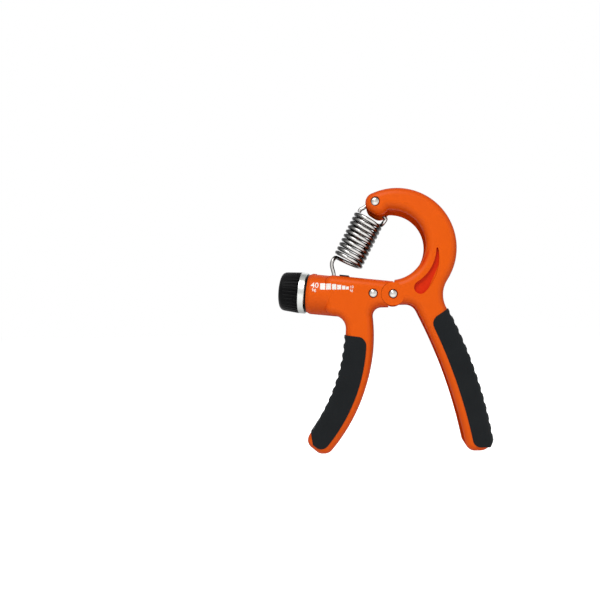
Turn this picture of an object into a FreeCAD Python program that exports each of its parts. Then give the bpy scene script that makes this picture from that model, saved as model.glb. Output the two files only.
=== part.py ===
import FreeCAD, Part
import math
import os
import Sketcher

# Adjustable hand grip strengthener: two plastic handles on one hinge rivet, a tension spring
# between the hook of one handle and a screw driven slider in the barrel of the other.
# Everything is laid out in the upright plane X Z, seen from the front along +Y, from the
# centre of the hinge rivet. Each piece is then lifted by hinge_x and hinge_z, so that the
# part stands on its two handle tips at Z = 0.

Vector = FreeCAD.Vector
doc = FreeCAD.newDocument("HandGrip")
sheet = doc.addObject("Spreadsheet::Sheet", "Sizes")

SIZES = [
    ("hinge_x", 4.68, "hinge centre to the middle of the footprint"),
    ("hinge_z", 79.2, "hinge centre above the ground"),
    ("body_thick", 21.0, "both handles, front to back"),
    ("rim_round", 4.0, "rounding of the handles' front and back edges"),
    ("hook_x", 2.4, "centre of the hook's outer edge"),
    ("hook_z", 23.2, "centre of the hook's outer edge"),
    ("hook_round", 30.0, "radius of the hook's outer edge"),
    ("hole_x", -0.9, "centre of the hook's opening"),
    ("hole_z", 24.8, "centre of the hook's opening"),
    ("hole_round", 17.7, "radius of the hook's opening"),
    ("anchor_z", 46.0, "height of the spring's anchor rivet over the hinge"),
    ("head_round", 5.0, "rounding of the hook's head about the anchor rivet"),
    ("nose_reach", 1.8, "how far the head runs on inwards from the anchor"),
    ("nose_drop", 1.2, "how far the head runs down from the anchor"),
    ("nose_fillet", 1.5, "hollow between the head and the opening"),
    ("neck_round", 13.6, "hollow of the neck beside the hinge"),
    ("crotch_round", 6.2, "hollow under the hinge on the hook's handle"),
    ("crotch_z", -5.0, "top of that hollow"),
    ("straight_outer_x", 51.0, "outer edge of the hook's handle where it is upright"),
    ("straight_outer_z", -109.0, "height at which that edge would be upright"),
    ("straight_outer_round", 224.5, "bend of that edge"),
    ("straight_inner_x", 39.5, "inner edge of the hook's handle where it is upright"),
    ("straight_inner_z", -125.0, "height at which that edge would be upright"),
    ("straight_inner_round", 259.5, "bend of that edge"),
    ("tip_round", 4.7, "corners of both handle tips"),
    ("tip_corner", 6.0, "outer corner of the straight handle's tip"),
    ("curved_tip_x", -41.2, "slanted end of the curved handle's tip"),
    ("curved_tip_z", -76.9, "slanted end of the curved handle's tip"),
    ("curved_tip_tilt", 40.0, "slope of that end"),
    ("ear_round", 5.8, "round ears of the hook's handle about the hinge"),
    ("ear_gap", 0.15, "running gap round the ears"),
    ("tongue_thick", 8.0, "tongue of the barrel's handle between the ears"),
    ("tongue_gap", 0.3, "running gap beside and round the tongue"),
    ("stop_x", 0.9, "stop face of the hook's handle above the hinge"),
    ("stop_gap", 0.6, "gap between the stop faces at rest"),
    ("stub_reach", 14.0, "blank end of each handle past the hinge before it is cut"),
    ("stub_round", 5.0, "rounding of that blank end"),
    ("curved_inner_x", -10.35, "inner edge of the barrel's handle where it is upright"),
    ("curved_inner_z", -19.4, "height at which that edge is upright"),
    ("curved_inner_round", 88.5, "bend of that edge"),
    ("curved_outer_x", -23.95, "outer edge of the barrel's handle where it is upright"),
    ("curved_outer_z", -12.4, "height at which that edge is upright"),
    ("curved_outer_round", 93.8, "bend of that edge"),
    ("fork_round", 4.4, "hollow between the hinge and the barrel's handle"),
    ("web_top_x", -4.0, "top edge of the barrel's web beside the hinge"),
    ("web_top_z", 7.0, "top edge of the barrel's web beside the hinge"),
    ("web_top_tilt", 173.2, "run of that edge"),
    ("belly_z", -6.2, "underside of the barrel's handle beside the hinge"),
    ("lip_x", -2.5, "end of that underside against the ears"),
    ("shoulder_round", 4.4, "rounded corners of the flat web inside the barrel"),
    ("root_x", -34.4, "end of the flat web inside the barrel"),
    ("armpit_round", 6.6, "hollow between the barrel and its handle"),
    ("barrel_tilt", 6.5, "the barrel rises away from the hinge"),
    ("barrel_drop", 3.4, "barrel axis under the hinge centre"),
    ("barrel_round", 10.4, "outer radius of the barrel"),
    ("barrel_mouth", 43.6, "mouth of the barrel along its axis"),
    ("barrel_lip", 1.6, "chamfer of the mouth"),
    ("barrel_shoulder", 24.0, "where the barrel starts to narrow"),
    ("barrel_toe", 12.0, "inner end of the barrel's round form"),
    ("barrel_toe_round", 7.0, "radius there"),
    ("bore_round", 7.6, "bore in which the slider runs"),
    ("bore_end", 15.0, "inner end of that bore"),
    ("slot_wide", 6.4, "slot in the top of the barrel"),
    ("slot_inner", 16.6, "inner end of the slot"),
    ("slot_land", 3.2, "from the outer end of the slot to the mouth"),
    ("strip_wide", 3.6, "bare strip of the straight handle beside its grip"),
    ("curved_strip_wide", 3.2, "bare strip of the curved handle beside its grip"),
    ("grip_foot", 2.4, "bare rim under both grips"),
    ("grip_proud", 0.3, "grips stand out of the faces"),
    ("grip_wall", 2.0, "rubber on the faces"),
    ("grip_side", 2.4, "rubber on the outer edge"),
    ("grip_corner", 4.5, "rounded corners of the grips"),
    ("grip_toe", 4.0, "lower corners of the grips"),
    ("straight_heel_x", 46.6, "clipped outer corner at the foot of the straight grip"),
    ("straight_heel_z", -76.8, "clipped outer corner at the foot of the straight grip"),
    ("straight_heel_tilt", 60.0, "run of that clipped corner"),
    ("curved_heel_x", -41.9, "clipped outer corner at the foot of the curved grip"),
    ("curved_heel_z", -69.5, "clipped outer corner at the foot of the curved grip"),
    ("curved_heel_tilt", 280.0, "run of that clipped corner"),
    ("straight_top_x", 26.7, "upper end of the straight grip at its outer edge"),
    ("straight_top_z", -8.0, "upper end of the straight grip at its outer edge"),
    ("straight_top_tilt", 213.0, "run of that end"),
    ("curved_top_x", -24.4, "upper end of the curved grip at its outer edge"),
    ("curved_top_z", -20.0, "upper end of the curved grip at its outer edge"),
    ("curved_top_tilt", 172.0, "run of that end"),
    ("web_lap", 1.2, "how far the core runs under the bare rim"),
    ("rib_proud", 0.5, "finger ribs stand out of the edge"),
    ("groove_round", 2.2, "hollow between two finger ribs"),
    ("groove_deep", 0.7, "depth of that hollow"),
    ("groove_angle", 1.32, "angle from hollow to hollow on the straight grip"),
    ("groove_count", 13, "hollows on the straight grip"),
    ("groove_start_angle", 26.0, "angle of the first hollow about the bend's centre"),
    ("curved_groove_angle", 2.8, "angle from hollow to hollow on the curved grip"),
    ("curved_groove_count", 11, "hollows on the curved grip"),
    ("curved_groove_start_angle", -6.5, "angle of the first hollow about the bend's centre"),
    ("rivet_round", 1.5, "shank of the hinge and anchor rivets"),
    ("rivet_head", 2.15, "radius of the rivet heads"),
    ("rivet_dome", 1.1, "height of the domed heads"),
    ("rivet_seat", 0.6, "depth of the heads' recesses"),
    ("rivet_seat_gap", 0.25, "play round the heads"),
    ("rivet_fit", 0.05, "running fit of the hinge"),
    ("press_gap", 0.02, "gap of the fixed fits"),
    ("rivet_split", 6.5, "where the two halves of a rivet meet, from the middle"),
    ("rivet_stem", 0.8, "stem of the cap inside the post"),
    ("rivet_stem_long", 5.0, "length of that stem"),
    ("head_slot", 3.2, "slot of the hook's head for the spring's loop"),
    ("head_slot_top", 3.9, "slot above the anchor"),
    ("head_slot_in", 6.9, "slot inwards of the anchor"),
    ("head_slot_low", 9.0, "slot below the anchor"),
    ("keeper_along", 10.24, "keeper rivet along the barrel axis"),
    ("keeper_round", 1.4, "shank of the keeper rivet"),
    ("keeper_rise", 2.71, "keeper rivet above the barrel axis"),
    ("keeper_fit", 0.04, "play of the keeper in the screw's groove"),
    ("screw_round", 3.0, "lead screw"),
    ("screw_fit", 0.06, "running fit of the screw"),
    ("screw_end", 7.0, "inner end of the screw along the axis"),
    ("screw_tail_round", 2.0, "threaded tail for the knob's nut"),
    ("screw_tail_long", 3.6, "length of that tail"),
    ("slider_at", 29.12, "hook pin along the barrel axis at rest"),
    ("pin_rise", 7.83, "hook pin above the barrel axis"),
    ("pin_round", 1.1, "hook pin"),
    ("slider_round", 7.3, "round part of the slider"),
    ("slider_outer", 4.4, "slider past the hook pin, outwards"),
    ("slider_inner", 6.6, "slider past the hook pin, inwards"),
    ("tower_wide", 6.0, "slider's tower in the slot"),
    ("tower_top", 9.5, "top of the tower above the axis"),
    ("pointer_top", 11.0, "top of the pointer above the axis"),
    ("pointer_outer", 0.7, "outer end of the pointer inwards of the pin"),
    ("pointer_inner", 5.4, "inner end of the pointer inwards of the pin"),
    ("wire_gap", 0.3, "room beside the spring's wire in its slots"),
    ("fork_floor", 4.45, "floor of the tower's gap above the axis"),
    ("insert_round", 4.2, "brass nut in the slider"),
    ("insert_floor", 1.6, "slider's wall at the nut's inner end"),
    ("bush_round", 8.6, "end bush in the mouth of the barrel"),
    ("bush_deep", 2.6, "end bush inside the barrel"),
    ("bush_flange", 0.8, "flange of the end bush"),
    ("bush_flange_round", 9.7, "flange of the end bush"),
    ("washer_round", 6.0, "thrust washer"),
    ("washer_thick", 0.5, "thrust washer"),
    ("washer_gap", 0.1, "running gap beside the knob"),
    ("ring_round", 10.5, "metal ring of the knob"),
    ("ring_wall", 1.1, "metal ring of the knob"),
    ("ring_long", 3.3, "metal ring of the knob"),
    ("knob_round", 10.5, "knob beside the ring"),
    ("knob_end_round", 9.9, "knob before its dome"),
    ("knob_long", 7.3, "knob without its dome"),
    ("knob_dome", 2.5, "dome of the knob's end"),
    ("hub_long", 7.1, "knob on the screw, up to the shoulder of the tail"),
    ("nut_floor", 1.0, "knob's wall under its nut"),
    ("flute_count", 36, "flutes round the knob"),
    ("flute_round", 0.6, "flutes round the knob"),
    ("flute_deep", 0.7, "flutes round the knob"),
    ("nut_flat", 7.0, "width across flats of the knob's nut"),
    ("nut_thick", 2.6, "knob's nut"),
    ("nut_well_round", 4.6, "well of the nut in the knob's end"),
    ("cap_thick", 1.4, "cap over the nut"),
    ("coil_round", 7.1, "coil of the spring to the middle of the wire"),
    ("wire_round", 1.0, "wire of the spring"),
    ("coil_start", 8.9, "first turn along the spring's line from the anchor"),
    ("coil_pitch", 2.5, "spacing of the turns"),
    ("coil_turns", 9, "turns of the spring"),
    ("bend_round", 2.6, "bend between the coil and its hooks"),
    ("bend_rise", 3.3, "top of the upper bend over the first turn"),
    ("bend_fall", 3.0, "foot of the lower bend under the last turn"),
    ("free_end_rise", 1.3, "free end of the wire over the first turn"),
    ("loop_leg", 6.0, "straight wire before the loop round the anchor"),
    ("coil_leg", 6.6, "straight wire after that loop"),
    ("pin_leg", 3.0, "straight wire before the hook on the pin"),
    ("teardrop_in", 20.0, "bend of the inner edge of the hollow on the hook's face"),
    ("teardrop_out", 24.0, "bend of the outer edge of that hollow"),
    ("teardrop_x", 13.6, "round end of that hollow"),
    ("teardrop_z", 2.9, "round end of that hollow"),
    ("teardrop_round", 3.2, "round end of that hollow"),
    ("teardrop_tip_x", 22.3, "narrow end of that hollow"),
    ("teardrop_tip_z", 21.9, "narrow end of that hollow"),
    ("teardrop_tip_round", 0.5, "narrow end of that hollow"),
    ("teardrop_deep", 1.6, "depth of that hollow"),
]
for row, (name, amount, note) in enumerate(SIZES, start=1):
    sheet.set("A%d" % row, name)
    sheet.set("B%d" % row, str(amount))
    sheet.set("C%d" % row, note)
    sheet.setAlias("B%d" % row, name)
doc.recompute()


def cell(name):
    """The sheet's cell as an expression."""
    return "Sizes." + name


def value(expression):
    """What an expression over the sheet comes to."""
    return float(sheet.evalExpression(str(expression)))


def role(body, name):
    """One of a body's own origin planes or axes."""
    return next(f for f in body.Origin.OriginFeatures if f.Role == name)


# The places that several pieces share, as expressions over the sheet.
NEAR = "0.05"
HALF = cell("body_thick") + " / 2"
FOOT_Z = "-" + cell("hinge_z")
ANCHOR_X = ("(%s - sqrt((%s - %s + %s)^2 - (%s - %s)^2))" % (
    cell("hook_x"), cell("hook_round"), cell("head_round"), NEAR, cell("anchor_z"), cell("hook_z")))
ANCHOR_Z = cell("anchor_z")
STOP_X = cell("stop_x")
KEEPER_X = "(-%s * cos(%s) + %s * sin(%s))" % (
    cell("keeper_along"), cell("barrel_tilt"), cell("keeper_rise"), cell("barrel_tilt"))
KEEPER_Z = "(%s * sin(%s) + %s * cos(%s) - %s)" % (
    cell("keeper_along"), cell("barrel_tilt"), cell("keeper_rise"), cell("barrel_tilt"),
    cell("barrel_drop"))


class Round:
    """A stretch of an outline that goes round a centre, counter-clockwise with side 1."""

    def __init__(self, x, z, radius, side=1):
        self.x, self.z, self.radius, self.side = x, z, radius, side
        self.centre = (value(x), value(z))
        self.size = value(radius)


class Straight:
    """A stretch of an outline along the line through a point, at an angle in degrees."""

    def __init__(self, x, z, angle):
        self.x, self.z, self.angle = x, z, angle
        self.point = (value(x), value(z))
        turn = math.radians(value(angle))
        self.along = (math.cos(turn), math.sin(turn))
        self.left = (-math.sin(turn), math.cos(turn))


class Blend:
    """A corner rounding that touches both neighbours, counter-clockwise with side 1."""

    def __init__(self, radius, side=1):
        self.radius, self.side = radius, side
        self.size = value(radius)


def meet_circles(a, ra, b, rb):
    """Both points at distance ra from a and rb from b."""
    dx, dz = b[0] - a[0], b[1] - a[1]
    gap = math.hypot(dx, dz)
    along = (gap ** 2 + ra ** 2 - rb ** 2) / (2 * gap)
    aside = math.sqrt(max(0.0, ra ** 2 - along ** 2))
    ux, uz = dx / gap, dz / gap
    return [(a[0] + along * ux - k * aside * uz, a[1] + along * uz + k * aside * ux) for k in (1, -1)]


def meet_line(point, along, centre, radius):
    """Both points of a line at a distance from a centre."""
    dx, dz = centre[0] - point[0], centre[1] - point[1]
    foot = dx * along[0] + dz * along[1]
    aside = math.sqrt(max(0.0, radius ** 2 - (dx ** 2 + dz ** 2 - foot ** 2)))
    return [(point[0] + (foot + k * aside) * along[0], point[1] + (foot + k * aside) * along[1])
            for k in (1, -1)]


def meet_lines(p, d, q, e):
    """Where two lines cross."""
    cross = d[0] * e[1] - d[1] * e[0]
    k = ((q[0] - p[0]) * e[1] - (q[1] - p[1]) * e[0]) / cross
    return (p[0] + k * d[0], p[1] + k * d[1])


def blend_centre(before, blend, after):
    """Centre of a corner rounding between two stretches, on the side where the outline runs."""
    def track(piece):
        if isinstance(piece, Round):
            return ("round", piece.centre, abs(piece.size - piece.side * blend.side * blend.size))
        push = blend.side * blend.size
        start = (piece.point[0] + push * piece.left[0], piece.point[1] + push * piece.left[1])
        return ("line", start, piece.along)

    one, two = track(before), track(after)
    if one[0] == "line" and two[0] == "line":
        return meet_lines(one[1], one[2], two[1], two[2])
    if one[0] == "round" and two[0] == "round":
        choices = meet_circles(one[1], one[2], two[1], two[2])
    elif one[0] == "line":
        choices = meet_line(one[1], one[2], two[1], two[2])
    else:
        choices = meet_line(two[1], two[2], one[1], one[2])
    return min(choices, key=lambda c: turn_of(before, c, blend, after))


def touch(piece, centre, blend):
    """Where a corner rounding touches its neighbour."""
    if isinstance(piece, Straight):
        push = -blend.side * blend.size
        return (centre[0] + push * piece.left[0], centre[1] + push * piece.left[1])
    dx, dz = centre[0] - piece.centre[0], centre[1] - piece.centre[1]
    gap = math.hypot(dx, dz)
    sign = 1 if (piece.side != blend.side or piece.size > blend.size) else -1
    return (piece.centre[0] + sign * piece.size * dx / gap, piece.centre[1] + sign * piece.size * dz / gap)


def turn_of(before, centre, blend, after):
    """Angle that a corner rounding turns through with its centre there, in radians."""
    start, end = touch(before, centre, blend), touch(after, centre, blend)
    first = math.atan2(start[1] - centre[1], start[0] - centre[0])
    last = math.atan2(end[1] - centre[1], end[0] - centre[0])
    return (blend.side * (last - first)) % (2 * math.pi)


def bridge(one, two):
    """Ends of the straight line that touches two round stretches."""
    dx, dz = two.centre[0] - one.centre[0], two.centre[1] - one.centre[1]
    gap = math.hypot(dx, dz)
    lean = math.asin((two.side * two.size - one.side * one.size) / gap)
    heading = math.atan2(dz, dx) - lean
    left = (-math.sin(heading), math.cos(heading))
    return [(r.centre[0] - r.side * r.size * left[0], r.centre[1] - r.side * r.size * left[1])
            for r in (one, two)]


def corner(one, two):
    """Where a straight stretch meets its neighbour without a rounding."""
    if isinstance(one, Straight) and isinstance(two, Straight):
        return meet_lines(one.point, one.along, two.point, two.along)
    line, ring = (one, two) if isinstance(one, Straight) else (two, one)
    choices = meet_line(line.point, line.along, ring.centre, ring.size)
    return min(choices, key=lambda c: math.dist(c, line.point))


def outline(sketch, pieces):
    """Draws a closed outline, counter-clockwise, and ties it to the sheet."""
    count = len(pieces)
    centres = {}
    for i, piece in enumerate(pieces):
        if isinstance(piece, Blend):
            centres[i] = blend_centre(pieces[i - 1], piece, pieces[(i + 1) % count])
        elif isinstance(piece, Round):
            centres[i] = piece.centre
    starts, ends, bridges = {}, {}, {}
    for i, one in enumerate(pieces):
        j = (i + 1) % count
        two = pieces[j]
        if isinstance(two, Blend):
            ends[i] = starts[j] = touch(one, centres[j], two)
        elif isinstance(one, Blend):
            ends[i] = starts[j] = touch(two, centres[i], one)
        elif isinstance(one, Round) and isinstance(two, Round):
            ends[i], starts[j] = bridge(one, two)
            bridges[i] = True
        else:
            ends[i] = starts[j] = corner(one, two)
    joints, chain = [], []
    for i, piece in enumerate(pieces):
        a, b = Vector(*starts[i], 0), Vector(*ends[i], 0)
        if isinstance(piece, Straight):
            index = sketch.addGeometry(Part.LineSegment(a, b))
            mark = sketch.addGeometry(Part.Point(Vector(*piece.point, 0)), True)
            tie(sketch, Sketcher.Constraint("DistanceX", mark, 1, piece.point[0]), piece.x)
            tie(sketch, Sketcher.Constraint("DistanceY", mark, 1, piece.point[1]), piece.z)
            sketch.addConstraint(Sketcher.Constraint("PointOnObject", mark, 1, index))
            heading = math.atan2(b.y - a.y, b.x - a.x)
            level = abs(math.sin(heading)) < 1e-9
            upright = abs(math.cos(heading)) < 1e-9
            if level:
                sketch.addConstraint(Sketcher.Constraint("Horizontal", index))
            elif upright:
                sketch.addConstraint(Sketcher.Constraint("Vertical", index))
            else:
                tie(sketch, Sketcher.Constraint("Angle", index, heading), piece.angle)
            chain.append((index, 1, 2))
        else:
            centre = Vector(*centres[i], 0)
            first = math.atan2(a.y - centre.y, a.x - centre.x)
            last = math.atan2(b.y - centre.y, b.x - centre.x)
            ring = Part.Circle(centre, Vector(0, 0, 1), piece.size)
            if piece.side > 0:
                index = sketch.addGeometry(Part.ArcOfCircle(ring, first, last))
                chain.append((index, 1, 2))
            else:
                index = sketch.addGeometry(Part.ArcOfCircle(ring, last, first))
                chain.append((index, 2, 1))
            tie(sketch, Sketcher.Constraint("Radius", index, piece.size), piece.radius)
            if isinstance(piece, Round):
                tie(sketch, Sketcher.Constraint("DistanceX", index, 3, centre.x), piece.x)
                tie(sketch, Sketcher.Constraint("DistanceY", index, 3, centre.y), piece.z)
        smooth = i in bridges or isinstance(piece, Blend) or isinstance(pieces[(i + 1) % count], Blend)
        joints.append(smooth)
        if i in bridges:
            j = (i + 1) % count
            index = sketch.addGeometry(Part.LineSegment(b, Vector(*starts[j], 0)))
            chain.append((index, 1, 2))
            joints.append(True)
    for k, (index, _, tail) in enumerate(chain):
        follower, head, _ = chain[(k + 1) % len(chain)]
        kind = "Tangent" if joints[k] else "Coincident"
        sketch.addConstraint(Sketcher.Constraint(kind, index, tail, follower, head))


def tie(sketch, constraint, expression):
    """Adds a dimension that follows the sheet."""
    index = sketch.addConstraint(constraint)
    sketch.setExpression("Constraints[%d]" % index, str(expression))


def polygon(sketch, corners):
    """Draws a closed outline of straight lines through corners tied to the sheet."""
    points = [Vector(value(x), value(z), 0) for x, z in corners]
    count = len(points)
    first = [sketch.addGeometry(Part.LineSegment(points[i], points[(i + 1) % count]))
             for i in range(count)]
    for i, (x, z) in enumerate(corners):
        sketch.addConstraint(Sketcher.Constraint("Coincident", first[i - 1], 2, first[i], 1))
        tie(sketch, Sketcher.Constraint("DistanceX", first[i], 1, points[i].x), x)
        tie(sketch, Sketcher.Constraint("DistanceY", first[i], 1, points[i].y), z)


def circle(sketch, x, z, radius):
    """Draws a circle tied to the sheet."""
    centre = Vector(value(x), value(z), 0)
    index = sketch.addGeometry(Part.Circle(centre, Vector(0, 0, 1), value(radius)))
    tie(sketch, Sketcher.Constraint("DistanceX", index, 3, centre.x), x)
    tie(sketch, Sketcher.Constraint("DistanceY", index, 3, centre.y), z)
    tie(sketch, Sketcher.Constraint("Radius", index, value(radius)), radius)


class Piece:
    """One sub-part: a body whose features are added one by one."""

    made = []

    def __init__(self, label, x="0", z="0", tilt=None):
        self.body = doc.addObject("PartDesign::Body", "Body_" + label)
        self.body.Label = label
        if tilt:
            self.body.Placement = FreeCAD.Placement(Vector(), FreeCAD.Rotation(Vector(0, 1, 0), value(tilt)))
            self.body.setExpression("Placement.Rotation.Angle", tilt)
        self.body.setExpression("Placement.Base.x", "%s + %s" % (cell("hinge_x"), x))
        self.body.setExpression("Placement.Base.z", "%s + %s" % (cell("hinge_z"), z))
        Piece.made.append(self.body)

    def sketch(self, plane="XZ_Plane", right="0", up="0", out="0", turn=None, lean=None):
        """A sketch on an origin plane, shifted in it and out of it, and turned or leaned."""
        made = self.body.newObject("Sketcher::SketchObject", "Sketch")
        made.AttachmentSupport = (role(self.body, plane), [""])
        made.MapMode = "FlatFace"
        spin = FreeCAD.Rotation()
        if turn:
            spin = FreeCAD.Rotation(Vector(0, 0, 1), value(turn))
        if lean:
            spin = FreeCAD.Rotation(Vector(0, 1, 0), value(lean))
        made.AttachmentOffset = FreeCAD.Placement(Vector(value(right), value(up), value(out)), spin)
        for axis, amount in (("x", right), ("y", up), ("z", out)):
            made.setExpression("AttachmentOffset.Base." + axis, amount)
        if turn or lean:
            made.setExpression("AttachmentOffset.Rotation.Angle", turn or lean)
        return made

    def feature(self, kind, sketch, **more):
        made = self.body.newObject("PartDesign::" + kind, kind)
        made.Profile = sketch
        for name, amount in more.items():
            setattr(made, name, amount)
        return made

    def pad(self, sketch, thick):
        """Fills an outline evenly to both sides of its plane."""
        made = self.feature("Pad", sketch, Midplane=True)
        made.setExpression("Length", thick)
        doc.recompute()
        return made

    def pocket(self, sketch, thick=None, outward=None):
        """Cuts an outline through, or a thickness evenly, or from its plane outwards."""
        before = self.body.Shape.Volume
        made = self.feature("Pocket", sketch)
        if outward is not None:
            made.Type = "Length"
            made.Reversed = outward
            made.setExpression("Length", thick)
        else:
            made.Midplane = True
            made.Type = "Length" if thick else "ThroughAll"
            if thick:
                made.setExpression("Length", thick)
        doc.recompute()
        if not self.body.Shape.Volume < before - 1e-3:
            raise ValueError("a pocket of %s cuts nothing" % self.body.Label)
        return made

    def turned(self, kind, sketch, axis):
        """A full turn of an outline about one of its sketch axes."""
        made = self.feature(kind, sketch, Angle=360.0)
        made.ReferenceAxis = (sketch, [axis])
        doc.recompute()
        return made

    def fillet(self, radius, picked, kind="Fillet"):
        """Rounds or chamfers the edges that a test picks."""
        base = self.body.Tip
        names = ["Edge%d" % n for n, e in enumerate(base.Shape.Edges, start=1) if picked(e)]
        made = self.body.newObject("PartDesign::" + kind, kind)
        made.Base = (base, names)
        made.setExpression("Radius" if kind == "Fillet" else "Size", radius)
        doc.recompute()
        return made


def both_faces(piece, depth, draw):
    """Sinks an outline into the front face and the back face."""
    for front in (True, False):
        out = "(%s - %s)" % (HALF, depth)
        made = piece.sketch(out=out if front else "-" + out)
        draw(made)
        piece.pocket(made, depth + " + 1", outward=front)


def on_rim(edge):
    """Edges that lie in the front or the back face."""
    ys = [v.Y for v in edge.Vertexes]
    half = value(HALF)
    return all(abs(abs(y) - half) < 1e-4 for y in ys) and abs(edge.BoundBox.YLength) < 1e-4


def shifted(first, second):
    """One place moved by an amount."""
    return "(%s + %s)" % (first, second)


STRAIGHT_OUTER = ("(%s - %s)" % (cell("straight_outer_x"), cell("straight_outer_round")),
                  cell("straight_outer_z"))
STRAIGHT_INNER = ("(%s - %s)" % (cell("straight_inner_x"), cell("straight_inner_round")),
                  cell("straight_inner_z"))
CURVED_OUTER = ("(%s - %s)" % (cell("curved_outer_x"), cell("curved_outer_round")),
                cell("curved_outer_z"))
CURVED_INNER = ("(%s - %s)" % (cell("curved_inner_x"), cell("curved_inner_round")),
                cell("curved_inner_z"))
CROTCH_Z = "(%s - %s)" % (cell("crotch_z"), cell("crotch_round"))
CROTCH_X = "(%s + sqrt((%s - %s + %s)^2 - (%s - %s)^2))" % (
    STRAIGHT_INNER[0], cell("straight_inner_round"), cell("crotch_round"), NEAR,
    STRAIGHT_INNER[1], CROTCH_Z)


def straight_heel(gap):
    """The clipped corner at the foot of the straight grip, moved inwards by a gap."""
    return Straight("%s - %s" % (cell("straight_heel_x"), gap), cell("straight_heel_z"),
                    cell("straight_heel_tilt"))


def curved_heel(gap):
    """The clipped corner at the foot of the curved grip, moved inwards by a gap."""
    return Straight("%s + %s" % (cell("curved_heel_x"), gap), cell("curved_heel_z"),
                    cell("curved_heel_tilt"))


def straight_grip(sketch, gap, outer):
    """Side outline of the straight handle's rubber, out to a given outer radius."""
    outline(sketch, [
        Straight("0", "%s + %s + %s" % (FOOT_Z, cell("grip_foot"), gap), "0"),
        straight_heel(gap),
        Round(*STRAIGHT_OUTER, outer),
        Straight(cell("straight_top_x"),
                 "%s + %s / cos(%s)" % (cell("straight_top_z"), gap, cell("straight_top_tilt")),
                 cell("straight_top_tilt")),
        Blend(cell("grip_corner")),
        Round(*STRAIGHT_INNER, "%s + %s + %s" % (cell("straight_inner_round"), cell("strip_wide"), gap),
              -1),
        Blend(cell("grip_toe")),
    ])


def curved_slant(inset):
    """The slanted end of the curved handle's tip, moved inwards."""
    return Straight(
        "%s + (%s) * sin(%s)" % (cell("curved_tip_x"), inset, cell("curved_tip_tilt")),
        "%s + (%s) * cos(%s)" % (cell("curved_tip_z"), inset, cell("curved_tip_tilt")),
        "-" + cell("curved_tip_tilt"))


def curved_grip(sketch, gap, outer):
    """Side outline of the curved handle's rubber, out to a given outer radius."""
    outline(sketch, [
        curved_slant("%s + %s" % (cell("grip_foot"), gap)),
        Blend(cell("grip_toe")),
        Round(*CURVED_INNER, "%s - %s - %s" % (cell("curved_inner_round"), cell("curved_strip_wide"),
                                               gap)),
        Blend(cell("grip_corner")),
        Straight(cell("curved_top_x"),
                 "%s + %s / cos(%s)" % (cell("curved_top_z"), gap, cell("curved_top_tilt")),
                 cell("curved_top_tilt")),
        Round(*CURVED_OUTER, outer, -1),
        curved_heel(gap),
    ])


def rubber_seat(piece, draw, edge, core, past):
    """Cuts a handle's seat for its rubber: both faces, then the outer edge down to its core."""
    both_faces(piece, "(%s - %s)" % (cell("grip_wall"), cell("grip_proud")),
               lambda made: draw(made, "0", past))
    made = piece.sketch()
    outline(made, edge(core, past))
    piece.pocket(made)


def straight_edge(core, past):
    """Side outline of the strip that the rubber takes off the straight handle's outer edge."""
    return [
        Straight("60", "%s + %s" % (FOOT_Z, cell("grip_foot")), "0"),
        straight_heel("0"),
        Round(*STRAIGHT_OUTER, past),
        Straight(cell("straight_top_x"), cell("straight_top_z"), cell("straight_top_tilt")),
        Round(*STRAIGHT_OUTER, core, -1),
    ]


def curved_edge(core, past):
    """Side outline of the strip that the rubber takes off the curved handle's outer edge."""
    return [
        Round(*CURVED_OUTER, core),
        Straight(cell("curved_top_x"), cell("curved_top_z"), cell("curved_top_tilt")),
        Round(*CURVED_OUTER, past, -1),
        curved_heel("0"),
    ]


# The hook's handle.
hook = Piece("hook_handle_body")
made = hook.sketch()
outline(made, [
    Straight("0", FOOT_Z, "0"),
    Blend(cell("tip_corner")),
    Round(*STRAIGHT_OUTER, cell("straight_outer_round")),
    Blend(cell("neck_round"), -1),
    Round(cell("hook_x"), cell("hook_z"), cell("hook_round")),
    Round(ANCHOR_X, ANCHOR_Z, cell("head_round")),
    Round("%s + %s" % (ANCHOR_X, cell("nose_reach")), "%s - %s" % (ANCHOR_Z, cell("nose_drop")),
          cell("head_round")),
    Blend(cell("nose_fillet"), -1),
    Round(cell("hole_x"), cell("hole_z"), cell("hole_round"), -1),
    Round("-" + cell("stub_reach"), "%s + %s" % (cell("crotch_z"), cell("stub_round")),
          cell("stub_round")),
    Round(CROTCH_X, CROTCH_Z, cell("crotch_round"), -1),
    Round(*STRAIGHT_INNER, cell("straight_inner_round"), -1),
    Blend(cell("tip_round")),
])
hook.pad(made, cell("body_thick"))
hook.fillet(cell("rim_round"), on_rim)
made = hook.sketch()
polygon(made, [(STOP_X, "-25"), (STOP_X, "25"), ("-25", "25"), ("-25", "-25")])
hook.pocket(made)
made = hook.sketch()
circle(made, "0", "0", cell("ear_round"))
hook.pad(made, cell("body_thick"))
made = hook.sketch()
circle(made, "0", "0", "%s + %s" % (cell("ear_round"), cell("tongue_gap")))
hook.pocket(made, "%s + 2 * %s" % (cell("tongue_thick"), cell("tongue_gap")))
made = hook.sketch()
polygon(made, [
    (shifted(ANCHOR_X, "-10"), shifted(ANCHOR_Z, "-" + cell("head_slot_low"))),
    (shifted(ANCHOR_X, cell("head_slot_in")), shifted(ANCHOR_Z, "-" + cell("head_slot_low"))),
    (shifted(ANCHOR_X, cell("head_slot_in")), shifted(ANCHOR_Z, "-" + cell("head_slot_top"))),
    (shifted(ANCHOR_X, "0.7 * " + cell("head_slot_top")), shifted(ANCHOR_Z, cell("head_slot_top"))),
    (shifted(ANCHOR_X, "-0.5 * " + cell("head_slot_top")), shifted(ANCHOR_Z, cell("head_slot_top"))),
    (shifted(ANCHOR_X, "-10"), shifted(ANCHOR_Z, "-0.3 * " + cell("head_slot_top"))),
])
hook.pocket(made, cell("head_slot"))
made = hook.sketch()
circle(made, "0", "0", "%s + %s" % (cell("rivet_round"), cell("rivet_fit")))
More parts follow.
